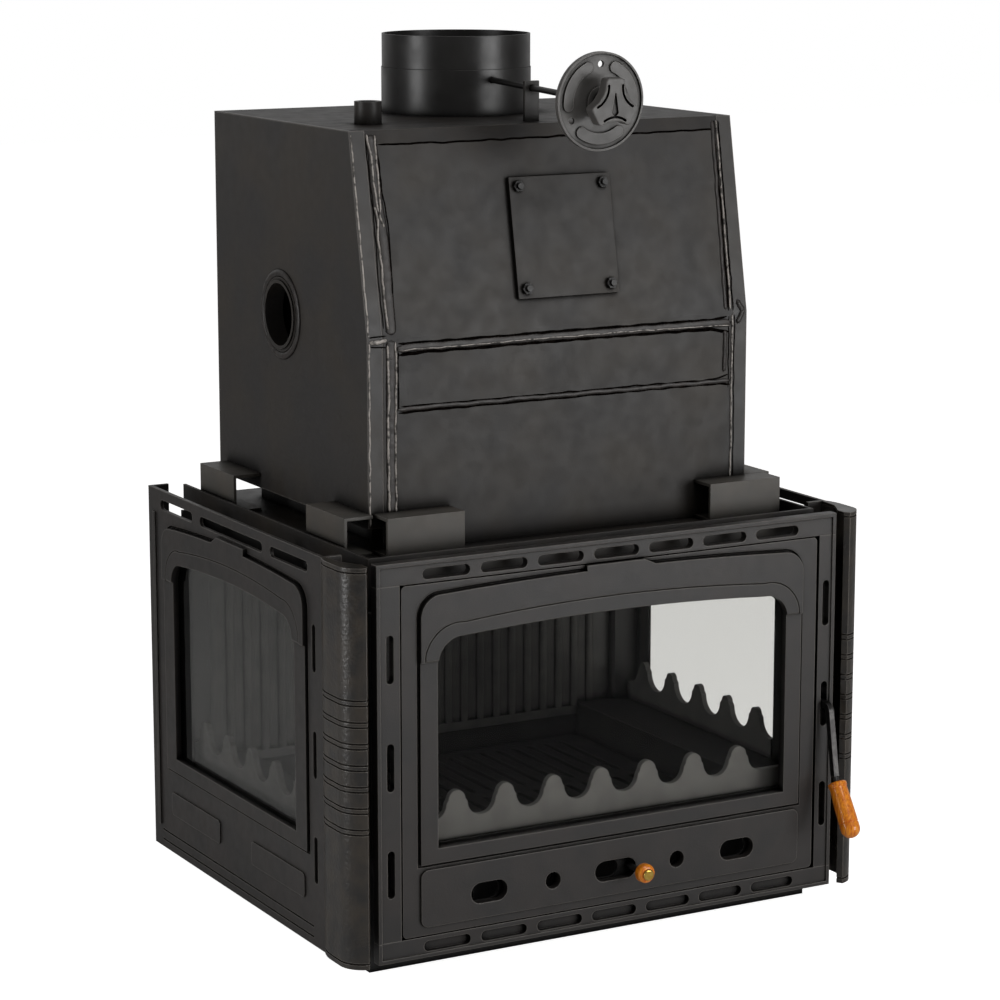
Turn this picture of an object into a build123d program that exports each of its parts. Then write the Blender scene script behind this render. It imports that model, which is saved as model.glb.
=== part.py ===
from build123d import *
import os
from math import asin, atan2, cos, radians, sin, sqrt

# Three-sided glass fireplace insert with a welded boiler on top.
# Millimetres, Z up, X to the right along the front, Y to the back. The origin is on
# the floor, under the middle of the whole stove.

os.makedirs("parts", exist_ok=True)

# Overall sizes
surround_width = 674
surround_height = 506
surround_thickness = 12
toe_height = 25
depth_behind_face = 615
cast_bottom = toe_height
cast_top = toe_height + surround_height

# Clearances
running_gap = 0.05
seat_gap = 0.3

# Door handle
handle_pivot_depth = 11
lever_width = 7.5
lever_thickness = 9
lever_step = 13
lever_drop = 92
lever_lean = 16
pivot_radius = 3
pivot_boss = 7
grip_length = 76
grip_tilt = 31
grip_radius = 12.6
grip_end_radius = 13
grip_neck_radius = 11.6
grip_edge = 1.5
grip_collar = 7
grip_waist = 25
tang_length = 60.8
grip_groove = 0.9
grip_groove_lifts = (7, 13)
ear_thickness = 3
ear_gap = 1
dome_start = lever_thickness + grip_length - grip_end_radius
handle_reach = lever_step + lever_lean + dome_start * sin(radians(grip_tilt)) + grip_end_radius

# The surround's front face, with the whole depth centred on the origin
front_y = -(depth_behind_face - handle_reach) / 2

# Door leaf and its opening in the surround
hinge_side_inset = 34.5
latch_side_inset = 28.5
bottom_inset = 28
top_inset = 30
door_left = hinge_side_inset - surround_width / 2
door_right = surround_width / 2 - latch_side_inset
door_bottom = cast_bottom + bottom_inset
door_top = cast_top - top_inset
door_thickness = 9
gap_hinge_side = 1.9
gap_latch_side = 4
gap_top = 1.6
rim_width = 5
rim_height = 2

# Door window and its mouldings
door_middle = (door_left + door_right) / 2
door_side_rail = 48.5
door_top_rail = 61
door_foot = 111
crown_rise = 8
shoulder_rise = 29
shoulder_inset = 36
window_width = door_right - door_left - 2 * door_side_rail
window_bottom = door_bottom + door_foot
window_crown = door_top - door_top_rail
window_shoulder = window_crown - crown_rise
window_spring = window_shoulder - shoulder_rise
field_margin = 24
field_height = 3
field_below_window = 19
field_above_window = 54
field_corner = 28
field_crown_rise = 7
brow_above_window = 20
brow_height = 3
brow_horn = 19
brow_foot = 8
brow_rise = 2
crease_width = 1.5
crease_depth = 1.2
trough_width = 3.5
trough_depth = 2
tab_left = 46
tab_right = 38
tab_slant = 16
tab_root = 14
plinth_inset = 24.5
plinth_width = door_right - door_left - 2 * plinth_inset
plinth_height = 74
plinth_lift = 11
plinth_bottom = door_bottom + plinth_lift
plinth_corner = 10
door_corner = 6

# Air holes in the door's foot, and the sliding plate behind them
air_lift = 33
air_end_room = 100
air_z = plinth_bottom + air_lift
air_pitch = (plinth_width - air_end_room) / 5
air_slot_length = 52
air_slot_height = 27
air_round = 22
knob_slot_length = 61
slider_thickness = 3
slider_height = 40
slider_overhang = 16
slider_offset = -6
slider_play = 2
guide_lip = 3
guide_height = 4
guide_wall = 2
knob_rod_radius = 4
knob_rod_offset = 25
knob_opening_length = 38
knob_opening_height = 24
knob_opening_offset = -9
knob_rod_x = door_middle + knob_rod_offset
knob_reach = 45
knob_radius = 12.5
knob_length = 15
knob_rounding = 5.4
cap_radius = 7.5
cap_length = 4
cap_rounding = 2.4

# Slots in the castings
slot_count = 7
slot_end_room = 44
slot_bridge = 15
slot_pitch = (door_right - door_left - slot_end_room) / slot_count
slot_length = slot_pitch - slot_bridge
slot_height = 13.5
top_slot_land = 4
bottom_slot_land = 6
blind_depth = 6
side_slot_count = 3
side_slot_pitch = 136.5
side_slot_length = 61
side_slot_width = 10
side_slot_drop = 3
side_slot_middle = cast_bottom + surround_height / 2 - side_slot_drop

# Glass
glass_thickness = 4
glass_overlap = 12
clip_size = 22
clip_thickness = 2.5
clip_rows = (0.2, 0.8)

# Hinge pins, and where the handle stands
pin_radius = 2.5
pin_inset = 5.5
pin_in_door = 12
pin_in_frame = 16
pin_end_room = 1
handle_inset = 11.5
handle_x = door_right + gap_latch_side + handle_inset
handle_pivot_y = front_y + surround_thickness + handle_pivot_depth

# Side panels
side_reach = 36.3
panel_thickness = 5
panel_setback = 75
panel_front = front_y + panel_setback
panel_back = front_y + depth_behind_face
panel_return = 28
panel_return_thickness = 5
side_window_width = 380
side_window_depth = 340
side_window_lift = 8
side_window_middle = front_y + side_window_depth
side_window_crown = window_crown + side_window_lift
side_window_shoulder = side_window_crown - crown_rise
side_window_spring = side_window_shoulder - shoulder_rise
side_field_margin = 31
side_field_above = 44
side_brow_above = 22
side_shoulder_inset = 30
ridge_width = 7
ridge_inset = 18
ridge_height = 2.5
pad_rise = 2
pad_height = 32
pad_lift = 56
pad_bottom = cast_bottom + pad_lift
pad_length = 160
pad_gap = 100
line_height = 2.5
line_depth = 1.6
line_start = 32
line_end = 28
line_levels = (24, 10)
panel_slot_drop = 2
panel_slot_inset = 24
panel_slot_width = 10
side_slot_shares = ((-0.45, 0.29), (0.013, 0.516), (0.476, 0.284))
side_slots = [(along * side_window_width, share * side_window_width) for along, share in side_slot_shares]
strip_thickness = 4.3
strip_width = 15
rear_strip_width = 46

# Corner columns
column_radius = 32
column_wall = 6
column_overlap = 5.7
column_end_gap = 17
column_lip_gap = 12
column_lip_bulge = 2
column_bulge = 10
column_flank = 26
column_taper = 5.2
lid_thickness = 4
lid_depth = 30
lid_side = 11
lid_step = 22
bead_lines = (7, 6)
ring_count = 7
ring_pitch = 27.1
ring_lift = 4
ring_middle = cast_bottom + surround_height / 2 + ring_lift
ring_groove = 1.6
ring_spread = 3.2
ring_width = 2.2
ring_cut_past = 1

# Sheet steel body under and behind the castings
sheet = 5
body_inset = 10
body_setback = 45
body_back_inset = 15
body_width = surround_width - 2 * body_inset
body_front = front_y + body_setback
body_back = panel_back - body_back_inset
hearth_drop = 3
hearth_top = window_bottom - hearth_drop
ledge_width = 62
ledge_depth = 75
ledge_setback = 18
back_room = 55
well_width = body_width - 2 * ledge_width
well_front = body_front + ledge_depth
well_back = body_back - back_room
grate_drop = 48
grate_top = hearth_top - grate_drop
grate_thickness = 12
grate_slot_pitch = 26
grate_slot_width = 11
grate_bar = 24
grate_rows = 2
lip = 12
top_thickness = 6
top_drop = 16
top_setback = 38
top_side_inset = 9
top_level = cast_top - top_drop
top_front = front_y + top_setback
top_width = surround_width - 2 * top_side_inset
top_lip = 4
header_height = 50
header_bottom = top_level - header_height
cheek_inset = 4
cheek_x = surround_width / 2 - cheek_inset
cheek_flare = 12
cheek_back_x = cheek_x + cheek_flare
tunnel_x = surround_width / 2 + side_reach - panel_thickness - glass_thickness - strip_thickness
lintel_gap = 20
lintel_z = side_window_crown + lintel_gap

# Ash drawer
sill_step = 1
sill_height = door_bottom + sill_step
pan_room = 4
pan_width = 360
pan_length = 440
pan_height = grate_top - grate_thickness - sheet - sill_height - pan_room
pan_wall = 2
pan_clearance = 3
runner_width = 20

# Fireback and log guards
liner_thickness = 10
liner_drop = 16
liner_head_gap = 8
liner_side_gap = 7
liner_foot = hearth_top - liner_drop
liner_top = top_level - liner_head_gap
liner_width = body_width - 2 * liner_side_gap
rib_radius = 6
rib_pitch = 26
guard_thickness = 8
guard_height = 62
guard_valley = 36
guard_teeth = 7
guard_row_margin = 11.3
guard_end_plate = 35
guard_setback = 35
guard_pitch = (window_width - 2 * guard_row_margin) / guard_teeth
guard_length = guard_teeth * guard_pitch + 2 * guard_end_plate
guard_front_y = front_y + guard_setback
side_guard_teeth = 5
side_guard_gap = 2
side_guard_end_plate = 5.5
side_guard_overhang = 6
side_guard_length = side_window_width - 2 * side_guard_gap
side_guard_pitch = (side_guard_length - 2 * side_guard_end_plate) / side_guard_teeth
side_guard_x = surround_width / 2 + side_guard_overhang
tooth_radius = 12
valley_radius = 20
side_tooth_radius = 8
side_valley_radius = 24

# Boiler
boiler_width = 560
boiler_sheet = 5
boiler_setback = 131
boiler_lean = 47
boiler_back_inset = 18
boiler_lift = 31
boiler_height = 493
knee_height = 239
boiler_front = front_y + boiler_setback
boiler_front_top = boiler_front + boiler_lean
boiler_back = body_back - boiler_back_inset
boiler_bottom = top_level + boiler_lift
boiler_knee = boiler_bottom + knee_height
boiler_top_z = boiler_bottom + boiler_height
flange_width = 22
band_lift = 148
band_height = 77
band_bottom = boiler_bottom + band_lift
band_top = band_bottom + band_height
top_flange = 18
weld_gap = 0.3
jacket_gap = 42
jacket_front_gap = 74
jacket_sheet = 4
top_water_gap = 54
jacket_top = boiler_top_z - top_water_gap

# Feet under the boiler
foot_length = 109
foot_edge_gap = 4
foot_depth = 40
foot_height = 51
foot_wall = 4
front_left_foot_inset = 6
front_right_foot_overhang = 30
left_foot_step = 12
right_foot_inset = 1
rear_foot_inset = 23

# Flue collar, damper and rosette
flue_x = 0
flue_inset = 164
flue_y = boiler_back - flue_inset
flue_radius = 100
flue_wall = 3
flue_height = 104
spigot_length = 44
spigot_step = 0.8
neck_radius = flue_radius - flue_wall
neck_wall = 3
rod_radius = 4
rod_drop = 2.4
rod_height = 51
blade_gap = 8
blade_radius = flue_radius - flue_wall - blade_gap
blade_thickness = 3
blade_hub_radius = 7
blade_hub_length = 130
rosette_distance = 378
rosette_radius = 61.4
rosette_thickness = 7
rosette_rim = 2.5
rosette_screw_radius = 46
rosette_screw_hole = 4.2
pad_sweep = 70
pad_width = 14
pad_middles = (30, 150, 270)
rosette_boss_margin = 8
star_reach = 35
star_distance = rosette_distance + star_reach
star_length = 15
star_rounding = 1.5
star_corner = 5
arm_reach = 32
arm_half_width = 13.5
arm_waist = 21
crescent_reach = 23
crescent_half_gap = 10
crescent_waist = 15.5
crescent_width = 3.2
crescent_depth = 4
drop_radius = 4.7
drop_low = 9.3
drop_tip = 13.5
drop_tip_radius = 0.8
drop_depth = 3
arm_step = 120
star_arms = (90, 90 + arm_step, 90 - arm_step)
star_neck_radius = 11
bracket_distance = 203
bracket_width = 21
bracket_thickness = 5
bracket_above_rod = 9

# Ports and inspection cover
port_setback = 249
port_lift = 3
port_y = boiler_front + port_setback
port_z = boiler_knee + port_lift
port_radius = 41
port_wall = 4
port_length = 26
port_stand = 4
port_ring = 49
port_ring_height = 2
boss_inset = 74
boss_setback = 93
boss_x = boss_inset - boiler_width / 2
boss_y = boiler_front_top + boss_setback
boss_radius = 17.5
boss_bore = 12
boss_hole = boss_bore + 2
boss_height = 29
cover_x = 10
cover_width = 148
cover_height = 154
cover_lift = 112
cover_middle_z = boiler_knee + cover_lift
cover_thickness = 6
cover_bolt_inset = 12
bolt_head = 13
bolt_head_height = 5.5
bolt_stud_radius = 4
bolt_stud_height = 4

panel_x = surround_width / 2 + side_reach
face = Plane(origin=(0, front_y, 0), x_dir=(1, 0, 0), z_dir=(0, -1, 0))
sides = (("left", -1), ("right", 1))


def save(builder, name):
    builder.part.label = name
    export_step(builder.part, f"parts/{name}.step")


def slab(x0, x1, y0, y1, z0, z1, mode=Mode.ADD):
    """A plate or bar between two corners."""
    with Locations(((x0 + x1) / 2, (y0 + y1) / 2, (z0 + z1) / 2)):
        Box(abs(x1 - x0), abs(y1 - y0), abs(z1 - z0), mode=mode)


def side_slab(side, x0, x1, y0, y1, z0, z1, mode=Mode.ADD):
    """The same between distances x0 and x1 from the middle, on one side."""
    slab(side * x0, side * x1, y0, y1, z0, z1, mode)


def arch(middle, half, bottom, spring, shoulder, crown, inset):
    """A window with upright sides, round shoulders and a shallow crown."""
    knee = 1 - sqrt(0.5)
    rise = shoulder - spring
    with BuildLine() as outline:
        Polyline((middle - half, spring), (middle - half, bottom),
                 (middle + half, bottom), (middle + half, spring))
        ThreePointArc((middle + half, spring),
                      (middle + half - inset * knee, spring + rise * (1 - knee)),
                      (middle + half - inset, shoulder))
        ThreePointArc((middle + half - inset, shoulder), (middle, crown),
                      (middle - half + inset, shoulder))
        ThreePointArc((middle - half + inset, shoulder),
                      (middle - half + inset * knee, spring + rise * (1 - knee)),
                      (middle - half, spring))
    make_face(outline.edges())


def grown(outline, amount):
    """The sizes of an arch that runs parallel to another, this far outside it."""
    half, bottom, spring, shoulder, crown, inset = outline
    return (half + amount, bottom - amount, spring, shoulder + amount, crown + amount, inset + amount)


def frame_steps(opening, frame, brow, through):
    """Level, outline, thickness and mode of each step of the raised frame round a window.

    It stands in a trough, and above the window's shoulders it is a thicker hood with a crease in it.
    """
    hood_level = field_height + brow_height
    hood = (frame[0], opening[2], *frame[2:])
    return ((0, grown(frame, trough_width), -trough_depth, Mode.SUBTRACT),
            (-trough_depth, frame, trough_depth + field_height, Mode.ADD),
            (field_height, hood, brow_height, Mode.ADD),
            (hood_level, brow, -crease_depth, Mode.SUBTRACT),
            (hood_level, grown(brow, -crease_width), -crease_depth, Mode.ADD),
            (hood_level, opening, -through - hood_level, Mode.SUBTRACT))


def tab(middle, crown, top):
    """Outline of the bare middle of the hood, which reaches up to the casting's edge."""
    with BuildLine() as outline:
        Polyline((middle - tab_left, crown - tab_root), (middle + tab_right + tab_slant, crown - tab_root),
                 (middle + tab_right + tab_slant, crown), (middle + tab_right, top),
                 (middle - tab_left, top), close=True)
    make_face(outline.edges())


# Steel base, with a drawer opening in front
with BuildPart() as base_floor:
    slab(-body_width / 2, body_width / 2, body_front, body_back, 0, sheet)
save(base_floor, "base_floor")

hearth_under = hearth_top - sheet
with BuildPart() as base_side_walls:
    for _, side in sides:
        side_slab(side, body_width / 2 - sheet, body_width / 2, body_front + sheet,
                  body_back - sheet, sheet, hearth_under)
save(base_side_walls, "base_side_walls")

drawer_half = pan_width / 2 + pan_clearance
drawer_top = sill_height + pan_height + pan_clearance
with BuildPart() as base_front_wall:
    slab(-body_width / 2, body_width / 2, body_front, body_front + sheet, sheet, hearth_under)
    slab(-drawer_half, drawer_half, body_front - sheet, body_front + 2 * sheet,
         sill_height, drawer_top, Mode.SUBTRACT)
save(base_front_wall, "base_front_wall")

with BuildPart() as back_wall:
    slab(-body_width / 2, body_width / 2, body_back - sheet, body_back, sheet,
         top_level - top_thickness)
save(back_wall, "back_wall")

# Ash drawer on two runners
with BuildPart() as pan_runners:
    for _, side in sides:
        side_slab(side, pan_width / 2 - runner_width, pan_width / 2, body_front + sheet,
                  body_back - sheet, sheet, sill_height)
save(pan_runners, "pan_runners")

with BuildPart() as ash_pan:
    slab(-pan_width / 2, pan_width / 2, body_front, body_front + pan_length,
         sill_height + seat_gap, sill_height + seat_gap + pan_height)
    open_top = ash_pan.faces().sort_by(Axis.Z)[-1]
    offset(amount=-pan_wall, openings=open_top)
save(ash_pan, "ash_pan")

# Hearth ledges round the grate well
well_depth = well_back - well_front
ledge_front = front_y + surround_thickness + ledge_setback
ledge_back = well_back - rib_radius - seat_gap
lip_bottom = grate_top - grate_thickness - sheet
tunnel_front = side_window_middle - side_window_width / 2
tunnel_back = side_window_middle + side_window_width / 2
with BuildPart() as hearth:
    for _, side in sides:
        side_slab(side, well_width / 2, body_width / 2, body_front, ledge_back,
                  hearth_under, hearth_top)
        side_slab(side, liner_width / 2 + seat_gap, body_width / 2, ledge_back, body_back - sheet,
                  hearth_under, hearth_top)
        side_slab(side, body_width / 2, cheek_back_x, ledge_front, tunnel_front - sheet,
                  hearth_under, hearth_top)
        side_slab(side, body_width / 2, tunnel_x, tunnel_front, tunnel_back,
                  hearth_under, hearth_top)
        side_slab(side, well_width / 2, well_width / 2 + sheet, well_front - sheet, ledge_back,
                  lip_bottom, hearth_under)
        side_slab(side, well_width / 2, well_width / 2 + sheet, ledge_back, well_back + sheet,
                  lip_bottom, liner_foot)
        side_slab(side, well_width / 2 - lip, well_width / 2, well_front, well_back,
                  lip_bottom, lip_bottom + sheet)
    slab(-body_width / 2, body_width / 2, ledge_front, body_front, hearth_under, hearth_top)
    slab(-well_width / 2, well_width / 2, body_front, well_front, hearth_under, hearth_top)
    slab(-well_width / 2, well_width / 2, well_front - sheet, well_front, lip_bottom, hearth_under)
    slab(-well_width / 2, well_width / 2, well_back, well_back + liner_thickness,
         lip_bottom, liner_foot)
save(hearth, "hearth")

# Cast grate with slots from front to back
grate_gap = 1.5
grate_half = well_width / 2 - grate_gap
grate_depth = well_depth - 2 * grate_gap
grate_columns = int((2 * grate_half - 2 * grate_bar) // grate_slot_pitch)
grate_slot_length = (grate_depth - (grate_rows + 1) * grate_bar) / grate_rows
with BuildPart() as grate:
    with BuildSketch(Plane.XY.offset(grate_top - grate_thickness)):
        with Locations((0, well_front + well_depth / 2)):
            Rectangle(2 * grate_half, grate_depth)
            with GridLocations(grate_slot_pitch, grate_slot_length + grate_bar,
                               grate_columns, grate_rows):
                SlotOverall(grate_slot_length, grate_slot_width, rotation=90, mode=Mode.SUBTRACT)
    extrude(amount=grate_thickness)
save(grate, "grate")

# Firebox top with the throat up into the boiler
jacket_half = boiler_width / 2 - jacket_gap
jacket_front = boiler_front + jacket_front_gap
jacket_back = boiler_back - jacket_gap
throat_half = jacket_half - 2 * jacket_sheet
throat_front = jacket_front + 2 * jacket_sheet
throat_back = jacket_back - 2 * jacket_sheet
with BuildPart() as firebox_top:
    slab(-top_width / 2, top_width / 2, top_front, body_back, top_level - top_thickness, top_level)
    slab(-throat_half, throat_half, throat_front, throat_back,
         top_level - 2 * top_thickness, top_level + top_thickness, Mode.SUBTRACT)
    slab(-top_width / 2, top_width / 2, top_front, top_front + top_lip, header_bottom, cast_top)
    for _, side in sides:
        side_slab(side, top_width / 2 - top_lip, top_width / 2, top_front + top_lip, body_back,
                  top_level, cast_top)
save(firebox_top, "firebox_top")

# Walls round the side windows, from the sheet body out to the glass
for name, side in sides:
    with BuildPart() as window_walls:
        cheek_front = front_y + surround_thickness
        with BuildSketch(Plane.XY.offset(hearth_top)):
            with BuildLine():
                Polyline((side * cheek_x, cheek_front), (side * (cheek_x + sheet), cheek_front),
                         (side * (cheek_back_x + sheet), tunnel_front - sheet),
                         (side * cheek_back_x, tunnel_front - sheet), close=True)
            make_face()
        extrude(amount=lintel_z - hearth_top)
        side_slab(side, cheek_back_x, tunnel_x, tunnel_front - sheet, tunnel_front,
                  hearth_top, lintel_z)
        side_slab(side, body_width / 2 - sheet, tunnel_x, tunnel_front - sheet, tunnel_front,
                  lintel_z, top_level - top_thickness)
        side_slab(side, body_width / 2 - sheet, tunnel_x, tunnel_back, tunnel_back + sheet,
                  hearth_top, top_level - top_thickness)
        side_slab(side, body_width / 2 - sheet, body_width / 2, tunnel_back + sheet,
                  body_back - sheet, hearth_top, top_level - top_thickness)
        side_slab(side, body_width / 2 - sheet, tunnel_x, tunnel_front, tunnel_back,
                  lintel_z, lintel_z + sheet)
        side_slab(side, body_width / 2 - sheet, body_width / 2, tunnel_front, tunnel_back,
                  lintel_z + sheet, top_level - top_thickness)
    save(window_walls, f"{name}_window_walls")

# Ribbed cast fireback
rib_count = int((liner_width - rib_pitch) // rib_pitch)
with BuildPart() as back_liner:
    with BuildSketch(Plane.XY.offset(liner_foot)):
        with Locations((0, well_back + liner_thickness / 2)):
            Rectangle(liner_width, liner_thickness)
        with Locations((0, well_back)):
            with GridLocations(rib_pitch, 1, rib_count, 1):
                Circle(rib_radius)
    extrude(amount=liner_top - liner_foot)
    slab(-liner_width / 2, liner_width / 2, well_back - rib_radius, well_back,
         liner_foot, liner_foot + 2 * rib_radius)
save(back_liner, "back_liner")


def guard_profile(length, teeth, pitch, tooth_radius, valley_radius):
    """Log guard outline: a plate whose top edge is a row of round teeth and round valleys."""
    valley = guard_height - guard_valley
    half = teeth * pitch / 2
    with BuildLine() as outline:
        Polyline((-half, valley), (-length / 2, valley), (-length / 2, 0),
                 (length / 2, 0), (length / 2, valley), (half, valley))
        for number in range(teeth):
            middle = -half + (number + 0.5) * pitch
            left = middle - pitch / 2
            right = middle + pitch / 2
            rise_left = (left + valley_radius, valley + valley_radius)
            rise_right = (right - valley_radius, valley + valley_radius)
            top_left = (middle - tooth_radius, guard_height - tooth_radius)
            top_right = (middle + tooth_radius, guard_height - tooth_radius)
            reach = valley_radius * sqrt(0.5)
            ThreePointArc((left, valley),
                          (left + reach, valley + valley_radius - reach), rise_left)
            Line(rise_left, top_left)
            ThreePointArc(top_left, (middle, guard_height), top_right)
            Line(top_right, rise_right)
            ThreePointArc(rise_right,
                          (right - reach, valley + valley_radius - reach), (right, valley))
    make_face(outline.edges())


with BuildPart() as front_guard:
    guard_plane = Plane(origin=(door_middle, guard_front_y, hearth_top),
                        x_dir=(1, 0, 0), z_dir=(0, -1, 0))
    with BuildSketch(guard_plane):
        guard_profile(guard_length, guard_teeth, guard_pitch, tooth_radius, valley_radius)
    extrude(amount=-guard_thickness)
save(front_guard, "front_guard")

for name, side in sides:
    with BuildPart() as side_guard:
        guard_plane = Plane(origin=(side * side_guard_x, side_window_middle, hearth_top),
                            x_dir=(0, 1, 0), z_dir=(1, 0, 0))
        with BuildSketch(guard_plane):
            guard_profile(side_guard_length, side_guard_teeth, side_guard_pitch,
                          side_tooth_radius, side_valley_radius)
        extrude(amount=side * guard_thickness)
    save(side_guard, f"{name}_guard")

# Cast surround in four bars, with a raised rim round the outside
open_left = door_left - gap_hinge_side
open_right = door_right + gap_latch_side
open_top = door_top + gap_top
open_bottom = door_bottom - gap_top
half_width = surround_width / 2
back_face = front_y + surround_thickness
rim_face = front_y - rim_height
top_slot_z = open_top + top_slot_land + slot_height / 2
bottom_slot_z = open_bottom - bottom_slot_land - slot_height / 2
hinge_x = door_left + pin_inset
hinge_y = front_y + door_thickness / 2


def pin_hole(level, down, up):
    """Running hole for a hinge pin, from `down` to `up` about a level."""
    with Locations((hinge_x, hinge_y, level + down)):
        Cylinder(pin_radius + running_gap, up - down, mode=Mode.SUBTRACT,
                 align=(Align.CENTER, Align.CENTER, Align.MIN))


with BuildPart() as surround_top:
    slab(-half_width, half_width, front_y, back_face, open_top, cast_top)
    slab(-half_width, half_width, rim_face, front_y, cast_top - rim_width, cast_top)
    for side in (-1, 1):
        side_slab(side, half_width - rim_width, half_width, rim_face, front_y,
                  open_top, cast_top - rim_width)
    with BuildSketch(face):
        with Locations((door_middle, top_slot_z)):
            with GridLocations(slot_pitch, 1, slot_count, 1):
                SlotOverall(slot_length, slot_height)
    extrude(amount=-surround_thickness, mode=Mode.SUBTRACT)
    pin_hole(open_top, -pin_in_door, pin_in_frame + pin_end_room)
save(surround_top, "surround_top")

with BuildPart() as surround_bottom:
    slab(-half_width, half_width, front_y, back_face, cast_bottom, open_bottom)
    slab(-half_width, half_width, rim_face, front_y, cast_bottom, cast_bottom + rim_width)
    for side in (-1, 1):
        side_slab(side, half_width - rim_width, half_width, rim_face, front_y,
                  cast_bottom + rim_width, open_bottom)
    with BuildSketch(face):
        with Locations((door_middle, bottom_slot_z)):
            with GridLocations(slot_pitch, 1, slot_count, 1):
                SlotOverall(slot_length, slot_height)
    extrude(amount=-blind_depth, mode=Mode.SUBTRACT)
    pin_hole(open_bottom, -pin_in_frame - pin_end_room, pin_in_door)
save(surround_bottom, "surround_bottom")

left_slot_x = (open_left - half_width + rim_width) / 2
for name, inner, outer, slot_x in (("left", open_left, -half_width, left_slot_x),
                                   ("right", open_right, half_width, handle_x)):
    rim_inner = outer - rim_width if outer > 0 else outer + rim_width
    with BuildPart() as surround_bar:
        slab(inner, outer, front_y, back_face, open_bottom, open_top)
        slab(rim_inner, outer, rim_face, front_y, open_bottom, open_top)
        with BuildSketch(face):
            with Locations((slot_x, side_slot_middle)):
                with GridLocations(1, side_slot_pitch, 1, side_slot_count):
                    SlotOverall(side_slot_length, side_slot_width, rotation=90)
        extrude(amount=-surround_thickness, mode=Mode.SUBTRACT)
    save(surround_bar, f"surround_{name}")

with BuildPart() as hinge_pins:
    for start in (open_top - pin_in_door, open_bottom - pin_in_frame):
        with BuildSketch(Plane.XY.offset(start)):
            with Locations((hinge_x, hinge_y)):
                Circle(pin_radius)
        extrude(amount=pin_in_door + pin_in_frame)
save(hinge_pins, "hinge_pins")

# Door leaf: window, raised field, brow over the window, plinth with air holes
leaf_width = door_right - door_left
leaf_height = door_top - door_bottom
leaf_back = front_y + door_thickness
slider_half = 2 * air_pitch + air_slot_length / 2 + slider_overhang
with BuildPart() as door_leaf:
    with BuildSketch(face):
        with Locations((door_middle, (door_bottom + door_top) / 2)):
            RectangleRounded(leaf_width, leaf_height, door_corner)
    extrude(amount=-door_thickness)
    door_opening = (window_width / 2, window_bottom, window_spring, window_shoulder, window_crown,
                    shoulder_inset)
    door_frame = (window_width / 2 + field_margin, window_bottom - field_below_window,
                  window_crown + field_above_window - field_crown_rise - field_corner,
                  window_crown + field_above_window - field_crown_rise, window_crown + field_above_window,
                  field_corner)
    door_brow = (window_width / 2 + brow_horn, window_spring, window_spring + brow_foot,
                 window_shoulder + brow_above_window - brow_rise, window_crown + brow_above_window,
                 shoulder_inset + brow_horn)
    for level, outline, thickness, mode in frame_steps(door_opening, door_frame, door_brow, door_thickness):
        with BuildSketch(face.offset(level)):
            arch(door_middle, *outline)
        extrude(amount=thickness, mode=mode)
    with BuildSketch(face.offset(-trough_depth)):
        tab(door_middle, window_crown + field_above_window, door_top)
    extrude(amount=trough_depth + field_height + brow_height)
    with BuildSketch(face):
        with Locations((door_middle, plinth_bottom + plinth_height / 2)):
            RectangleRounded(plinth_width, plinth_height, plinth_corner)
    extrude(amount=field_height)
    with BuildSketch(face):
        with Locations((door_middle, air_z)):
            with GridLocations(4 * air_pitch, 1, 2, 1):
                SlotOverall(air_slot_length, air_slot_height)
            with GridLocations(2 * air_pitch, 1, 2, 1):
                Circle(air_round / 2)
            SlotOverall(knob_slot_length, air_slot_height)
    extrude(amount=door_thickness + field_height, both=True, mode=Mode.SUBTRACT)
    for end in (-1, 1):
        guide_inner = air_z + end * (slider_height / 2 + seat_gap)
        guide_outer = guide_inner + end * guide_height
        slab(door_middle - slider_half, door_middle + slider_half, leaf_back,
             leaf_back + slider_thickness + 2 * seat_gap, guide_inner, guide_outer)
        slab(door_middle - slider_half, door_middle + slider_half,
             leaf_back + slider_thickness + 2 * seat_gap,
             leaf_back + slider_thickness + 2 * seat_gap + guide_wall,
             guide_inner - end * guide_lip, guide_outer)
    pin_hole(open_top, -pin_in_door - pin_end_room, pin_in_frame)
    pin_hole(open_bottom, -pin_in_frame, pin_in_door + pin_end_room)
save(door_leaf, "door_leaf")

with BuildPart() as door_glass:
    with BuildSketch(face.offset(-door_thickness)):
        arch(door_middle, window_width / 2 + glass_overlap, window_bottom - glass_overlap,
             window_spring + glass_overlap, window_shoulder + glass_overlap,
             window_crown + glass_overlap, shoulder_inset + glass_overlap / 2)
    extrude(amount=-glass_thickness)
save(door_glass, "door_glass")

with BuildPart() as door_glass_clips:
    clip_half = window_width / 2 + glass_overlap
    for share in clip_rows:
        clip_z = window_bottom + share * (window_spring - window_bottom)
        for side in (-1, 1):
            x_in = door_middle + side * (clip_half - clip_size / 3)
            x_out = door_middle + side * (clip_half + clip_size * 2 / 3)
            x_step = door_middle + side * (clip_half + seat_gap)
            slab(x_in, x_out, leaf_back + glass_thickness,
                 leaf_back + glass_thickness + clip_thickness,
                 clip_z - clip_size / 2, clip_z + clip_size / 2)
            slab(x_step, x_out, leaf_back, leaf_back + glass_thickness,
                 clip_z - clip_size / 2, clip_z + clip_size / 2)
save(door_glass_clips, "door_glass_clips")

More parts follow.
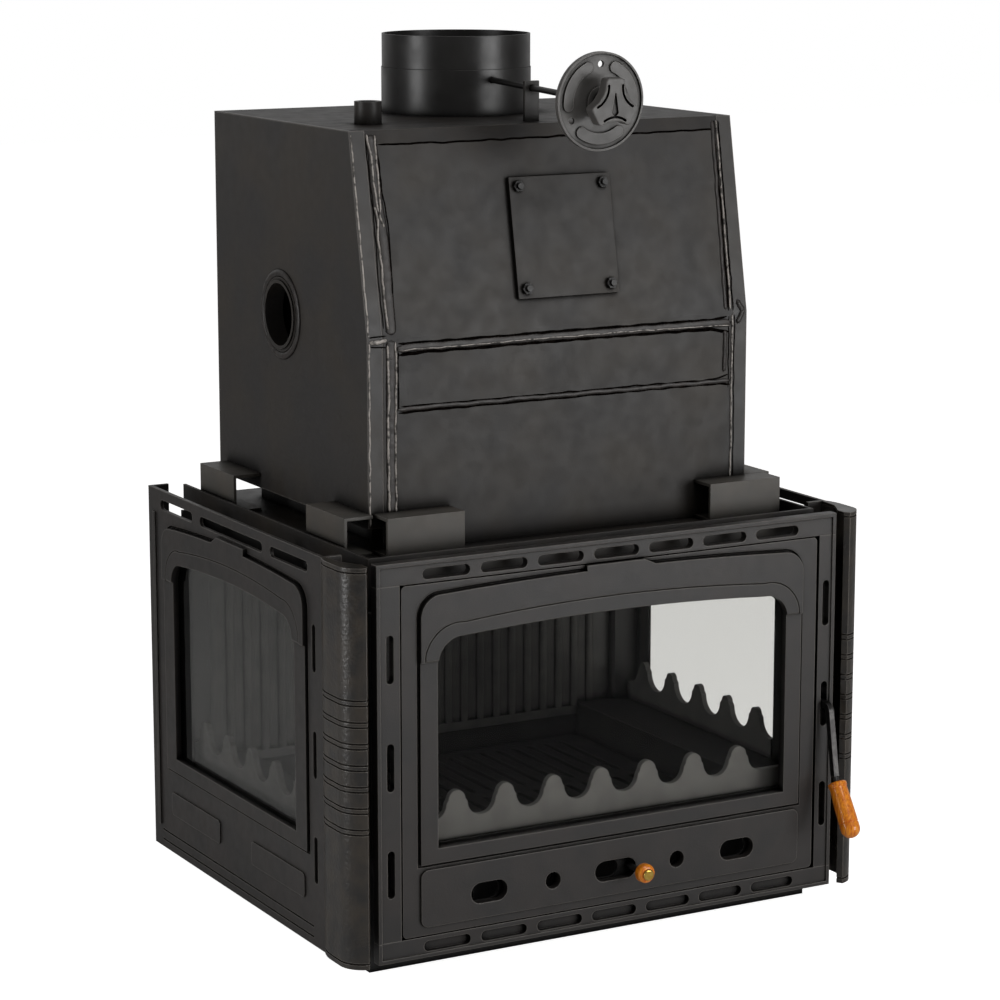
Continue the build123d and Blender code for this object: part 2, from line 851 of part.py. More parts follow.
# Sliding air plate with its rod and knob
slider_y = leaf_back + seat_gap
slider_middle = door_middle + slider_offset
slider_plane = Plane(origin=(slider_middle, slider_y, air_z), x_dir=(1, 0, 0), z_dir=(0, -1, 0))
slider_travel = knob_slot_length / 2 - knob_rod_radius
plate_half = slider_half - slider_play
knob_plane = Plane(origin=(knob_rod_x, slider_y, air_z), x_dir=(1, 0, 0), z_dir=(0, -1, 0))
knob_seat = slider_y - front_y + knob_reach - cap_length - knob_length
with BuildPart() as air_slider:
    with BuildSketch(slider_plane):
        Rectangle(2 * plate_half, slider_height)
        with GridLocations(4 * air_pitch, 1, 2, 1):
            SlotOverall(air_slot_length, air_slot_height, mode=Mode.SUBTRACT)
        with GridLocations(2 * air_pitch, 1, 2, 1):
            Circle(air_round / 2, mode=Mode.SUBTRACT)
        with Locations((knob_opening_offset - slider_offset, 0)):
            SlotOverall(knob_opening_length, knob_opening_height, mode=Mode.SUBTRACT)
    extrude(amount=-slider_thickness)
    with BuildSketch(knob_plane):
        Circle(knob_rod_radius)
    extrude(amount=knob_seat)
save(air_slider, "air_slider")

with BuildPart() as slider_knob:
    with BuildSketch(knob_plane.offset(knob_seat)):
        Circle(knob_radius)
    extrude(amount=knob_length)
    fillet(slider_knob.edges().filter_by(GeomType.CIRCLE), knob_rounding)
save(slider_knob, "slider_knob")

with BuildPart() as slider_cap:
    with BuildSketch(knob_plane.offset(knob_seat + knob_length)):
        Circle(cap_radius)
    extrude(amount=cap_length)
    fillet(slider_cap.edges().filter_by(GeomType.CIRCLE).sort_by(Axis.Y)[0], cap_rounding)
save(slider_cap, "slider_cap")

# Handle: bracket and pin behind the surround, lever through the slot, turned grip
lever_plane = Plane(origin=(handle_x - lever_width / 2, handle_pivot_y, side_slot_middle),
                    x_dir=(0, 1, 0), z_dir=(1, 0, 0))
ear_inner = lever_width / 2 + ear_gap
with BuildPart() as handle_bracket:
    for side in (-1, 1):
        x_in = handle_x + side * ear_inner
        slab(x_in, x_in + side * ear_thickness, back_face, handle_pivot_y + pivot_boss,
             side_slot_middle - pivot_boss, side_slot_middle + pivot_boss)
    pin_plane = Plane(origin=(handle_x - ear_inner - ear_thickness, handle_pivot_y, side_slot_middle),
                      x_dir=(0, 1, 0), z_dir=(1, 0, 0))
    with BuildSketch(pin_plane):
        Circle(pivot_radius)
    extrude(amount=2 * (ear_inner + ear_thickness))
save(handle_bracket, "handle_bracket")

lever_front = -(surround_thickness + handle_pivot_depth + lever_step)
grip_top = (lever_front - lever_lean, -lever_drop)
with BuildPart() as handle_lever:
    with BuildSketch(lever_plane):
        with BuildLine() as lever_path:
            FilletPolyline((0, 0), (lever_front, 0), grip_top, radius=lever_thickness)
        trace(line_width=lever_thickness)
        Circle(pivot_boss)
        Circle(pivot_radius + running_gap, mode=Mode.SUBTRACT)
    extrude(amount=lever_width)
    grip_origin = (handle_x, handle_pivot_y + grip_top[0], side_slot_middle + grip_top[1])
    grip_axis = (0, -sin(radians(grip_tilt)), -cos(radians(grip_tilt)))
    grip_plane = Plane(origin=grip_origin, x_dir=(1, 0, 0), z_dir=grip_axis)
    with BuildSketch(grip_plane):
        Circle(lever_width / 2)
    extrude(amount=tang_length)
save(handle_lever, "handle_lever")

with BuildPart() as handle_grip:
    grip_start = lever_thickness
    profile_plane = Plane(origin=grip_origin, x_dir=(1, 0, 0),
                          z_dir=(0, cos(radians(grip_tilt)), -sin(radians(grip_tilt))))
    with BuildSketch(profile_plane):
        with BuildLine():
            collar_end = grip_start + grip_collar
            Polyline((0, grip_start), (grip_radius - grip_edge, grip_start),
                     (grip_radius, grip_start + grip_edge), (grip_radius, collar_end - grip_edge),
                     (grip_neck_radius, collar_end))
            Spline((grip_neck_radius, collar_end), (grip_radius, collar_end + grip_waist),
                   (grip_end_radius, dome_start))
            ThreePointArc((grip_end_radius, dome_start),
                          (grip_end_radius * sqrt(0.5), dome_start + grip_end_radius * sqrt(0.5)),
                          (0, dome_start + grip_end_radius))
            Line((0, dome_start + grip_end_radius), (0, grip_start))
        make_face()
    revolve(axis=Axis(grip_origin, grip_axis))
    with BuildSketch(profile_plane):
        for lift in grip_groove_lifts:
            with Locations((grip_end_radius, dome_start - lift)):
                Circle(grip_groove)
    revolve(axis=Axis(grip_origin, grip_axis), mode=Mode.SUBTRACT)
    with BuildSketch(grip_plane):
        Circle(lever_width / 2)
    extrude(amount=tang_length, mode=Mode.SUBTRACT)
    with BuildSketch(lever_plane):
        with BuildLine():
            FilletPolyline((0, 0), (lever_front, 0), grip_top, radius=lever_thickness)
        trace(line_width=lever_thickness)
    extrude(amount=lever_width, mode=Mode.SUBTRACT)
save(handle_grip, "handle_grip")

# Cast side panels, their glass and the strips that hold it
side_face = Plane(origin=(panel_x, 0, 0), x_dir=(0, 1, 0), z_dir=(1, 0, 0))
panel_length = panel_back - panel_front
with BuildPart() as right_side_panel:
    slab(panel_x - panel_thickness, panel_x, panel_front, panel_back, cast_bottom, cast_top)
    slab(panel_x - panel_return, panel_x - panel_thickness, panel_back - panel_return_thickness,
         panel_back, cast_bottom, cast_top)
    slab(panel_x - panel_return, panel_x - panel_thickness, panel_front,
         panel_front + panel_return_thickness, cast_bottom, cast_top)
    ridge_y = panel_back - ridge_inset
    slab(panel_x, panel_x + ridge_height, ridge_y - ridge_width, ridge_y,
         cast_bottom + pad_height, cast_top - pad_height)
    side_top = side_window_crown + side_field_above
    side_opening = (side_window_width / 2, window_bottom, side_window_spring, side_window_shoulder,
                    side_window_crown, side_shoulder_inset)
    side_frame = (side_window_width / 2 + side_field_margin, window_bottom - field_below_window,
                  side_top - field_crown_rise - field_corner, side_top - field_crown_rise, side_top,
                  field_corner)
    side_brow = (side_window_width / 2 + brow_horn, side_window_spring, side_window_spring + brow_foot,
                 side_window_shoulder + side_brow_above - brow_rise, side_window_crown + side_brow_above,
                 side_shoulder_inset + brow_horn)
    for level, outline, thickness, mode in frame_steps(side_opening, side_frame, side_brow, panel_thickness):
        with BuildSketch(side_face.offset(level)):
            arch(side_window_middle, *outline)
        extrude(amount=thickness, mode=mode)
    with BuildSketch(side_face.offset(-trough_depth)):
        tab(side_window_middle, side_top, door_top)
    extrude(amount=trough_depth + field_height + brow_height)
    with BuildSketch(side_face):
        for along, length in side_slots:
            with Locations((side_window_middle + along, top_slot_z - panel_slot_drop)):
                SlotOverall(length, slot_height)
        with Locations((panel_front + panel_slot_inset, side_slot_middle)):
            with GridLocations(1, side_slot_pitch, 1, side_slot_count):
                SlotOverall(side_slot_length, panel_slot_width, rotation=90)
    extrude(amount=-panel_thickness, mode=Mode.SUBTRACT)
    with BuildSketch(side_face):
        for end in (-1, 1):
            with Locations((side_window_middle + end * (pad_length + pad_gap) / 2,
                            pad_bottom + pad_height / 2)):
                RectangleRounded(pad_length, pad_height, door_corner)
    extrude(amount=pad_rise)
    for level in line_levels:
        slab(panel_x - line_depth, panel_x + line_depth, panel_front + line_start, panel_back - line_end,
             cast_bottom + level, cast_bottom + level + line_height, Mode.SUBTRACT)
save(right_side_panel, "right_side_panel")

with BuildPart() as left_side_panel:
    mirror(right_side_panel.part, about=Plane.YZ)
save(left_side_panel, "left_side_panel")

glass_x = panel_x - panel_thickness
for name, side in sides:
    with BuildPart() as side_glass:
        side_slab(side, glass_x - glass_thickness, glass_x, tunnel_front - glass_overlap,
                  tunnel_back + glass_overlap, window_bottom - glass_overlap,
                  side_window_crown + glass_overlap)
    save(side_glass, f"{name}_side_glass")
    with BuildPart() as glass_strips:
        strip_low = hearth_under
        strip_top = lintel_z + sheet
        for y0, y1 in ((tunnel_front - strip_width, tunnel_front),
                       (tunnel_back - rear_strip_width + strip_width, tunnel_back + strip_width)):
            side_slab(side, tunnel_x, tunnel_x + strip_thickness, y0, y1, strip_low, strip_top)
        for z0, z1 in ((strip_low, hearth_top), (lintel_z, strip_top)):
            side_slab(side, tunnel_x, tunnel_x + strip_thickness, tunnel_front,
                      tunnel_back - rear_strip_width + strip_width, z0, z1)
    save(glass_strips, f"{name}_glass_strips")

# Rounded corner columns with ring grooves and a closed top
column_y = front_y + column_radius - column_bulge
column_x = panel_x + column_overlap - column_radius
column_back = panel_front - seat_gap


def column_points(radius, back, overshoot=0):
    """Plan of a column's face on the right side: lip, round corner, flank, then back in to the panel."""
    turn = asin((surround_width / 2 + column_end_gap - column_x) / column_radius)
    lip_edge = Vector(surround_width / 2 + column_lip_gap, front_y - column_lip_bulge)
    lip_foot = Vector(column_x + column_radius * sin(turn), column_y - column_radius * cos(turn))
    along = (lip_foot - lip_edge).normalized()
    lip = lip_edge - along * overshoot + along.rotate(Axis.Z, 90) * (column_radius - radius)
    middle = (radians(90) + turn) / 2
    flank_y = column_y + column_flank
    run = back - flank_y
    bow_radius = (column_taper ** 2 + run ** 2) / (2 * column_taper)
    bow = bow_radius - sqrt(bow_radius ** 2 - (run / 2) ** 2)
    return (lip, (column_x + radius * sin(turn), column_y - radius * cos(turn)),
            (column_x + radius * sin(middle), column_y - radius * cos(middle)),
            (column_x + radius, column_y), (column_x + radius, flank_y),
            (column_x + radius - bow, flank_y + run / 2), (column_x + radius - column_taper, back))


def column_profile(outer, inner, back, overshoot=0):
    """Plan of the shell between two radii."""
    ends = []
    with BuildLine() as outline:
        for radius in (outer, inner):
            lip, start, middle, corner, flank, bow, end = column_points(radius, back, overshoot)
            Line(lip, start)
            ThreePointArc(start, middle, corner)
            Line(corner, flank)
            ThreePointArc(flank, bow, end)
            ends.append((lip, end))
        Line(ends[0][0], ends[1][0])
        Line(ends[0][1], ends[1][1])
    make_face(outline.edges())


with BuildPart() as right_column:
    with BuildSketch(Plane.XY.offset(cast_bottom)):
        column_profile(column_radius, column_radius - column_wall, column_back)
    extrude(amount=surround_height)
    with BuildSketch(Plane.XY.offset(cast_top - lid_thickness)):
        lip, start, middle, corner, flank, bow, end = column_points(column_radius, column_back)
        with BuildLine() as lid:
            Line(lip, start)
            ThreePointArc(start, middle, corner)
            Line(corner, flank)
            ThreePointArc(flank, bow, end)
            Polyline(end, (end[0] - column_wall, end[1]),
                     (start[0] + lid_side, start[1] + lid_depth + lid_step),
                     (start[0], start[1] + lid_depth), (lip.X, start[1] + lid_step), lip)
        make_face(lid.edges())
    extrude(amount=lid_thickness)
    ring_levels = [ring_middle + (ring - (ring_count - 1) / 2) * ring_pitch for ring in range(ring_count)]
    cut_levels = [level + end * ring_spread for level in ring_levels for end in (-1, 1)]
    for level in (*cut_levels, cast_bottom + bead_lines[0], cast_top - bead_lines[1]):
        with BuildSketch(Plane.XY.offset(level - ring_width / 2)):
            column_profile(column_radius + ring_cut_past, column_radius - ring_groove,
                           column_back + ring_cut_past, ring_cut_past)
        extrude(amount=ring_width, mode=Mode.SUBTRACT)
save(right_column, "right_column")

with BuildPart() as left_column:
    mirror(right_column.part, about=Plane.YZ)
save(left_column, "left_column")

# Boiler shell
slope = atan2(boiler_front_top - boiler_front, boiler_top_z - boiler_knee)
slope_run = boiler_sheet / cos(slope)
side_plane = Plane(origin=(0, 0, 0), x_dir=(0, 1, 0), z_dir=(1, 0, 0))


def front_y_at(z):
    """Outer face of the boiler's front at a height."""
    rise = max(0, z - boiler_knee)
    return boiler_front + rise * (boiler_front_top - boiler_front) / (boiler_top_z - boiler_knee)


def front_band(z0, z1):
    """Section of the front sheet between two heights, bent at the knee."""
    heights = [z0] + [boiler_knee] * (z0 < boiler_knee < z1) + [z1]
    outer = [(front_y_at(z), z) for z in heights]
    inner = [(front_y_at(z) + (slope_run if z > boiler_knee else boiler_sheet), z)
             for z in reversed(heights)]
    with BuildLine() as outline:
        Polyline(*outer, *inner, close=True)
    make_face(outline.edges())


boiler_half = boiler_width / 2
front_half = boiler_half - flange_width
for name, side in sides:
    with BuildPart() as boiler_side:
        with BuildSketch(side_plane.offset(side * (boiler_half - boiler_sheet))):
            with BuildLine():
                Polyline((boiler_front, boiler_bottom), (boiler_front, boiler_knee),
                         (boiler_front_top, boiler_top_z), (boiler_back, boiler_top_z),
                         (boiler_back, boiler_bottom), close=True)
            make_face()
        extrude(amount=side * boiler_sheet)
        with BuildSketch(side_plane.offset(side * (front_half + weld_gap))):
            front_band(boiler_bottom, boiler_top_z)
        extrude(amount=side * (flange_width - boiler_sheet - weld_gap))
        if side < 0:
            with BuildSketch(side_plane.offset(-boiler_half - boiler_sheet)):
                with Locations((port_y, port_z)):
                    Circle(port_radius + port_wall + running_gap)
            extrude(amount=3 * boiler_sheet, mode=Mode.SUBTRACT)
    save(boiler_side, f"boiler_{name}")

for name, z0, z1 in (("lower", top_level, band_bottom - weld_gap / 2),
                     ("middle", band_bottom + weld_gap / 2, band_top - weld_gap / 2),
                     ("upper", band_top + weld_gap / 2, boiler_top_z - top_flange - weld_gap)):
    with BuildPart() as boiler_front_plate:
        with BuildSketch(side_plane.offset(-front_half)):
            front_band(z0, z1)
        extrude(amount=2 * front_half)
    save(boiler_front_plate, f"boiler_front_{name}")

with BuildPart() as boiler_back_plate:
    slab(-boiler_half + boiler_sheet, boiler_half - boiler_sheet, boiler_back - boiler_sheet,
         boiler_back, boiler_bottom, boiler_top_z - boiler_sheet)
save(boiler_back_plate, "boiler_back")

neck_bore = neck_radius - neck_wall
with BuildPart() as boiler_top:
    slab(-boiler_half + boiler_sheet, boiler_half - boiler_sheet,
         boiler_front_top + boiler_sheet + slope_run, boiler_back, boiler_top_z - boiler_sheet,
         boiler_top_z)
    slab(-front_half, front_half, boiler_front_top + slope_run / 2,
         boiler_front_top + boiler_sheet + slope_run,
         boiler_top_z - boiler_sheet, boiler_top_z)
    with BuildSketch(side_plane.offset(-front_half)):
        front_band(boiler_top_z - top_flange, boiler_top_z)
    extrude(amount=2 * front_half)
    with Locations((flue_x, flue_y, boiler_top_z)):
        Cylinder(neck_bore, 4 * boiler_sheet, mode=Mode.SUBTRACT)
    with Locations((boss_x, boss_y, boiler_top_z)):
        Cylinder(boss_hole, 4 * boiler_sheet, mode=Mode.SUBTRACT)
save(boiler_top, "boiler_top")

# Inner jacket: the smoke path inside the water space
with BuildPart() as inner_jacket:
    for side in (-1, 1):
        side_slab(side, jacket_half - jacket_sheet, jacket_half, jacket_front, jacket_back,
                  top_level, jacket_top)
    for y0 in (jacket_front, jacket_back - jacket_sheet):
        slab(-jacket_half + jacket_sheet, jacket_half - jacket_sheet, y0, y0 + jacket_sheet,
             top_level, jacket_top)
save(inner_jacket, "inner_jacket")

with BuildPart() as inner_top:
    slab(-jacket_half, jacket_half, jacket_front, jacket_back, jacket_top, jacket_top + jacket_sheet)
    with Locations((flue_x, flue_y, jacket_top)):
        Cylinder(neck_bore, 4 * jacket_sheet, mode=Mode.SUBTRACT)
save(inner_top, "inner_top")

with BuildPart() as flue_neck:
    with BuildSketch(Plane.XY.offset(jacket_top + jacket_sheet)):
        with Locations((flue_x, flue_y)):
            Circle(neck_radius)
            Circle(neck_bore, mode=Mode.SUBTRACT)
    extrude(amount=boiler_top_z - boiler_sheet - jacket_top - jacket_sheet)
save(flue_neck, "flue_neck")

with BuildPart() as jacket_floor:
    for side in (-1, 1):
        side_slab(side, jacket_half, boiler_half - boiler_sheet, boiler_front + boiler_sheet,
                  boiler_back - boiler_sheet, boiler_bottom, boiler_bottom + boiler_sheet)
    for y0, y1 in ((boiler_front + boiler_sheet, jacket_front),
                   (jacket_back, boiler_back - boiler_sheet)):
        slab(-jacket_half, jacket_half, y0, y1, boiler_bottom, boiler_bottom + boiler_sheet)
save(jacket_floor, "jacket_floor")

# Channel feet welded round the boiler's lower edge, standing on the firebox top
side_foot_depth = top_width / 2 - top_lip - foot_edge_gap - boiler_half
front_foot_y = boiler_front - foot_depth
front_left_foot_x = front_left_foot_inset - boiler_half
front_right_foot_x = boiler_half + front_right_foot_overhang - foot_length
rear_foot_y = boiler_back - rear_foot_inset - foot_length
with BuildPart() as boiler_feet:
    foot_top = top_level + foot_height
    side_feet = ((-1, boiler_front - left_foot_step), (1, boiler_front + right_foot_inset),
                 (-1, rear_foot_y), (1, rear_foot_y))
    for side, y0 in side_feet:
        y1 = y0 + foot_length
        side_slab(side, boiler_half, boiler_half + side_foot_depth, y0, y1, top_level, foot_top)
        side_slab(side, boiler_half - foot_wall, boiler_half + side_foot_depth - foot_wall,
                  y0 - foot_wall, y1 + foot_wall,
                  top_level + foot_wall, foot_top - foot_wall, Mode.SUBTRACT)
    for x0 in (front_left_foot_x, front_right_foot_x):
        x1 = x0 + foot_length
        slab(x0, x1, front_foot_y, boiler_front, top_level, foot_top)
        slab(x0 - foot_wall, x1 + foot_wall, front_foot_y + foot_wall, boiler_front,
             top_level + foot_wall, foot_top - foot_wall, Mode.SUBTRACT)
save(boiler_feet, "boiler_feet")

# Inspection cover on the sloping front
slope_plane = Plane(origin=(cover_x, front_y_at(cover_middle_z), cover_middle_z),
                    x_dir=(1, 0, 0), z_dir=(0, -cos(slope), sin(slope)))
with BuildPart() as cover_plate:
    with BuildSketch(slope_plane):
        Rectangle(cover_width, cover_height)
    extrude(amount=cover_thickness)
save(cover_plate, "cover_plate")

with BuildPart() as cover_bolts:
    spots = GridLocations(cover_width - 2 * cover_bolt_inset, cover_height - 2 * cover_bolt_inset, 2, 2)
    with BuildSketch(slope_plane.offset(cover_thickness)):
        with spots:
            RegularPolygon(bolt_head / 2, 6, major_radius=False)
    extrude(amount=bolt_head_height)
    with BuildSketch(slope_plane.offset(cover_thickness + bolt_head_height)):
        with spots:
            Circle(bolt_stud_radius)
    extrude(amount=bolt_stud_height)
save(cover_bolts, "cover_bolts")

# Damper rod line: from the collar forward, dropping a little
rod_origin = Vector(flue_x, flue_y, boiler_top_z + rod_height)
rod_direction = Vector(0, -cos(radians(rod_drop)), -sin(radians(rod_drop)))
rod_plane = Plane(origin=rod_origin, x_dir=(1, 0, 0), z_dir=rod_direction)

with BuildPart() as flue_collar:
    with BuildSketch(Plane.XY.offset(boiler_top_z)):
        with Locations((flue_x, flue_y)):
            Circle(flue_radius)
            Circle(flue_radius - flue_wall, mode=Mode.SUBTRACT)
    extrude(amount=flue_height - spigot_length)
    with BuildSketch(Plane.XY.offset(boiler_top_z + flue_height - spigot_length)):
        with Locations((flue_x, flue_y)):
            Circle(flue_radius - spigot_step)
            Circle(flue_radius - flue_wall, mode=Mode.SUBTRACT)
    extrude(amount=spigot_length)
    with BuildSketch(rod_plane):
        Circle(rod_radius + running_gap)
    extrude(amount=2 * flue_radius, both=True, mode=Mode.SUBTRACT)
save(flue_collar, "flue_collar")

with BuildPart() as damper_blade:
    with Locations(Location(rod_plane.origin, (rod_drop, 0, 0))):
        Cylinder(blade_radius, blade_thickness)
    with BuildSketch(rod_plane):
        Circle(blade_hub_radius)
    extrude(amount=blade_hub_length / 2, both=True)
    with BuildSketch(rod_plane):
        Circle(rod_radius)
    extrude(amount=2 * flue_radius, both=True, mode=Mode.SUBTRACT)
save(damper_blade, "damper_blade")

with BuildPart() as damper_rod:
    with BuildSketch(rod_plane.offset(-flue_radius - 2 * rod_radius)):
        Circle(rod_radius)
    extrude(amount=flue_radius + 2 * rod_radius + star_distance - star_length / 2)
save(damper_rod, "damper_rod")

with BuildPart() as rod_bracket:
    bracket_y = flue_y - bracket_distance
    rod_z_here = boiler_top_z + rod_height - bracket_distance * sin(radians(rod_drop))
    slab(flue_x - bracket_width / 2, flue_x + bracket_width / 2, bracket_y - bracket_thickness / 2,
         bracket_y + bracket_thickness / 2, boiler_top_z, rod_z_here + bracket_above_rod)
    with BuildSketch(rod_plane):
        Circle(rod_radius + 2 * running_gap)
    extrude(amount=bracket_distance + 4 * bracket_thickness, mode=Mode.SUBTRACT)
save(rod_bracket, "rod_bracket")

with BuildPart() as rosette:
    rosette_plane = rod_plane.offset(rosette_distance - rosette_thickness)
    with BuildSketch(rosette_plane):
        Circle(rosette_radius)
    extrude(amount=rosette_thickness - rosette_rim)
    with BuildSketch(rod_plane.offset(rosette_distance - rosette_rim)):
        Circle(rosette_radius)
        Circle(rosette_radius - rosette_rim, mode=Mode.SUBTRACT)
        for middle in pad_middles:
            for end in (middle - pad_sweep / 2, middle + pad_sweep / 2):
                with PolarLocations(rosette_screw_radius, 1, start_angle=end):
                    Circle(pad_width / 2)
            with BuildLine():
                CenterArc((0, 0), rosette_screw_radius, middle - pad_sweep / 2, pad_sweep)
            trace(line_width=pad_width)
        Circle(star_neck_radius + rosette_boss_margin)
    extrude(amount=rosette_rim)
    with BuildSketch(rosette_plane):
        Circle(rod_radius + 2 * running_gap)
        with PolarLocations(rosette_screw_radius, 3, start_angle=90):
            Circle(rosette_screw_hole)
    extrude(amount=2 * rosette_thickness, mode=Mode.SUBTRACT)
save(rosette, "rosette")


def across_arm(angle, reach, half_width):
    """Left and right ends of a line across one of the knob's arms."""
    return [Vector(reach, side * half_width).rotate(Axis.Z, angle) for side in (1, -1)]


with BuildPart() as damper_knob:
    with BuildSketch(rod_plane.offset(star_distance - star_length)) as star:
        with BuildLine():
            for arm in star_arms:
                left, right = across_arm(arm, arm_reach, arm_half_width)
                next_right = across_arm(arm + arm_step, arm_reach, arm_half_width)[1]
                waist = Vector(arm_waist, 0).rotate(Axis.Z, arm + arm_step / 2)
                Line(right, left)
                ThreePointArc(left, waist, next_right)
        make_face()
        fillet(star.vertices(), star_corner)
    extrude(amount=star_length)
    fillet(damper_knob.faces().sort_by(Axis.Y)[0].edges(), star_rounding)
    with BuildSketch(rod_plane.offset(star_distance)):
        for arm in star_arms:
            start = across_arm(arm, crescent_reach, crescent_half_gap)[0]
            end = across_arm(arm + arm_step, crescent_reach, crescent_half_gap)[1]
            waist = Vector(crescent_waist, 0).rotate(Axis.Z, arm + arm_step / 2)
            with BuildLine():
                ThreePointArc(start, waist, end)
            trace(line_width=crescent_width)
            with Locations(start, end):
                Circle(crescent_width / 2)
    extrude(amount=-crescent_depth, mode=Mode.SUBTRACT)
    with BuildSketch(rod_plane.offset(star_distance)):
        with Locations((0, -drop_low)):
            Circle(drop_radius)
        with Locations((0, drop_tip)):
            Circle(drop_tip_radius)
        make_hull()
    extrude(amount=-drop_depth, mode=Mode.SUBTRACT)
    with BuildSketch(rod_plane.offset(rosette_distance + 2 * seat_gap)):
        Circle(star_neck_radius)
    extrude(amount=star_distance - star_length - rosette_distance - 2 * seat_gap)
    with BuildSketch(rod_plane):
        Circle(rod_radius)
    extrude(amount=star_distance - star_length / 2, mode=Mode.SUBTRACT)
save(damper_knob, "damper_knob")

# Water ports
with BuildPart() as side_port:
    port_plane = side_plane.offset(-boiler_half + port_length - port_stand)
    with BuildSketch(port_plane):
        with Locations((port_y, port_z)):
            Circle(port_radius + port_wall)
    extrude(amount=-port_length)
    with BuildSketch(side_plane.offset(-boiler_half)):
        with Locations((port_y, port_z)):
            Circle(port_ring)
    extrude(amount=-port_ring_height)
    with BuildSketch(port_plane):
        with Locations((port_y, port_z)):
            Circle(port_radius)
    extrude(amount=-port_length, mode=Mode.SUBTRACT)
save(side_port, "side_port")

with BuildPart() as top_port:
    with BuildSketch(Plane.XY.offset(boiler_top_z)):
        with Locations((boss_x, boss_y)):
            Circle(boss_radius)
            Circle(boss_bore, mode=Mode.SUBTRACT)
    extrude(amount=boss_height)
save(top_port, "top_port")
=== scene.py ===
from math import cos, pi, radians, sin

import bmesh
import bpy
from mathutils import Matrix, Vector, noise


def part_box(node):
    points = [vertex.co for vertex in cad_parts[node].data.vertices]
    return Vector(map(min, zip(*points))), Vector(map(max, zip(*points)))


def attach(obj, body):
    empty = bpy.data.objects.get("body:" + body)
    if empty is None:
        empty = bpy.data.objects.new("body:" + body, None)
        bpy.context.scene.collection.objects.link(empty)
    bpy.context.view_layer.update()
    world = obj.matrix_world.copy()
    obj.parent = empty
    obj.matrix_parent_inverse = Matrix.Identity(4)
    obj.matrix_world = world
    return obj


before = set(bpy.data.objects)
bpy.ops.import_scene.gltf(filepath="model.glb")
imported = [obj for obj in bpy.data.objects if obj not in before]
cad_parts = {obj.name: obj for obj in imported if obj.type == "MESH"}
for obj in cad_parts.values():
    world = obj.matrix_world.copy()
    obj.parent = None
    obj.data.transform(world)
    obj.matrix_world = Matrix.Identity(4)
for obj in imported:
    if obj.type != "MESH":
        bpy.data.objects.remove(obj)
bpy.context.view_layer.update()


# ---------------------------------------------------------------- Studio
# A photographer's white sweep, with one broad soft light in front on the right, a weaker strip on
# the left and one high in front. The camera stands ahead of the stove's left corner, a little
# above it.
camera_place = Vector((-2.0240, -3.6123, 1.3424))
camera_aim = Vector((0.4768, 0.8578, -0.1916))
camera_lens_mm = 114.27
camera_sensor_mm = 36

camera_data = bpy.data.cameras.new("camera")
camera_data.lens = camera_lens_mm
camera_data.sensor_width = camera_sensor_mm
camera_data.clip_end = 100
camera = bpy.data.objects.new("camera", camera_data)
camera.location = camera_place
camera.rotation_euler = camera_aim.to_track_quat("-Z", "Y").to_euler()
bpy.context.collection.objects.link(camera)
bpy.context.scene.camera = camera
bpy.context.scene.view_settings.view_transform = "Standard"


def softbox(name, place, aim, size, watts):
    """A flat soft light of a width and height, that points at a spot."""
    data = bpy.data.lights.new(name, "AREA")
    data.shape = "RECTANGLE"
    data.size, data.size_y = size
    data.energy = watts
    light = bpy.data.objects.new(name, data)
    light.location = place
    light.rotation_euler = (Vector(aim) - Vector(place)).to_track_quat("-Z", "Y").to_euler()
    bpy.context.collection.objects.link(light)


softbox("front_light", place=(2.0, -3.9, 0.95), aim=(0, 0, 0.6), size=(1.9, 1.7), watts=66)
softbox("left_strip", place=(-3.2, 0.15, 0.9), aim=(0, 0, 0.6), size=(0.8, 1.7), watts=30)
softbox("high_light", place=(0.4, -2.6, 3.6), aim=(0, 0, 0.5), size=(1.6, 1.6), watts=42)


def add_node(tree, kind, inputs=None, **settings):
    """Adds a node with its settings, and sets or links its inputs."""
    node = tree.nodes.new(kind)
    for key, value in settings.items():
        setattr(node, key, value)
    for socket, value in (inputs or {}).items():
        if isinstance(value, bpy.types.NodeSocket):
            tree.links.new(value, node.inputs[socket])
        else:
            node.inputs[socket].default_value = value
    return node


def ray_is(tree, first, second):
    """Gives 1 on rays of either kind, and 0 on all others."""
    path = add_node(tree, "ShaderNodeLightPath")
    return add_node(tree, "ShaderNodeMath", {0: path.outputs[first], 1: path.outputs[second]},
                    operation="MAXIMUM").outputs[0]


# The camera sees plain white. Glossy paint mirrors it only where it looks at the backdrop, and the
# rest of the room is dim and a little warm.
towards_backdrop = (0.48, 0.86, 0.0)
backdrop_edge, backdrop_full = 0.35, 0.65
mirrored_room, mirrored_backdrop = 0.12, 0.5
room_colour = (1.0, 0.96, 0.93, 1)
room_strength = 0.12

world = bpy.data.worlds.new("white_studio")
bpy.context.scene.world = world
world.use_nodes = True
sky = world.node_tree
sky.nodes.clear()
path = add_node(sky, "ShaderNodeLightPath")
compass = add_node(sky, "ShaderNodeTexCoord")
backdrop = add_node(sky, "ShaderNodeVectorMath",
                    {0: compass.outputs["Generated"], 1: towards_backdrop},
                    operation="DOT_PRODUCT")
sweep = add_node(sky, "ShaderNodeMapRange",
                 {"Value": backdrop.outputs["Value"],
                  "From Min": backdrop_edge, "From Max": backdrop_full,
                  "To Min": mirrored_room, "To Max": mirrored_backdrop})
mirrored = add_node(sky, "ShaderNodeMath",
                    {0: path.outputs["Is Glossy Ray"], 1: sweep.outputs["Result"]},
                    operation="MULTIPLY")
shown = add_node(sky, "ShaderNodeMath",
                 {0: ray_is(sky, "Is Camera Ray", "Is Transmission Ray"),
                  1: mirrored.outputs[0]}, operation="MAXIMUM")
dim = add_node(sky, "ShaderNodeBackground", {"Color": room_colour, "Strength": room_strength})
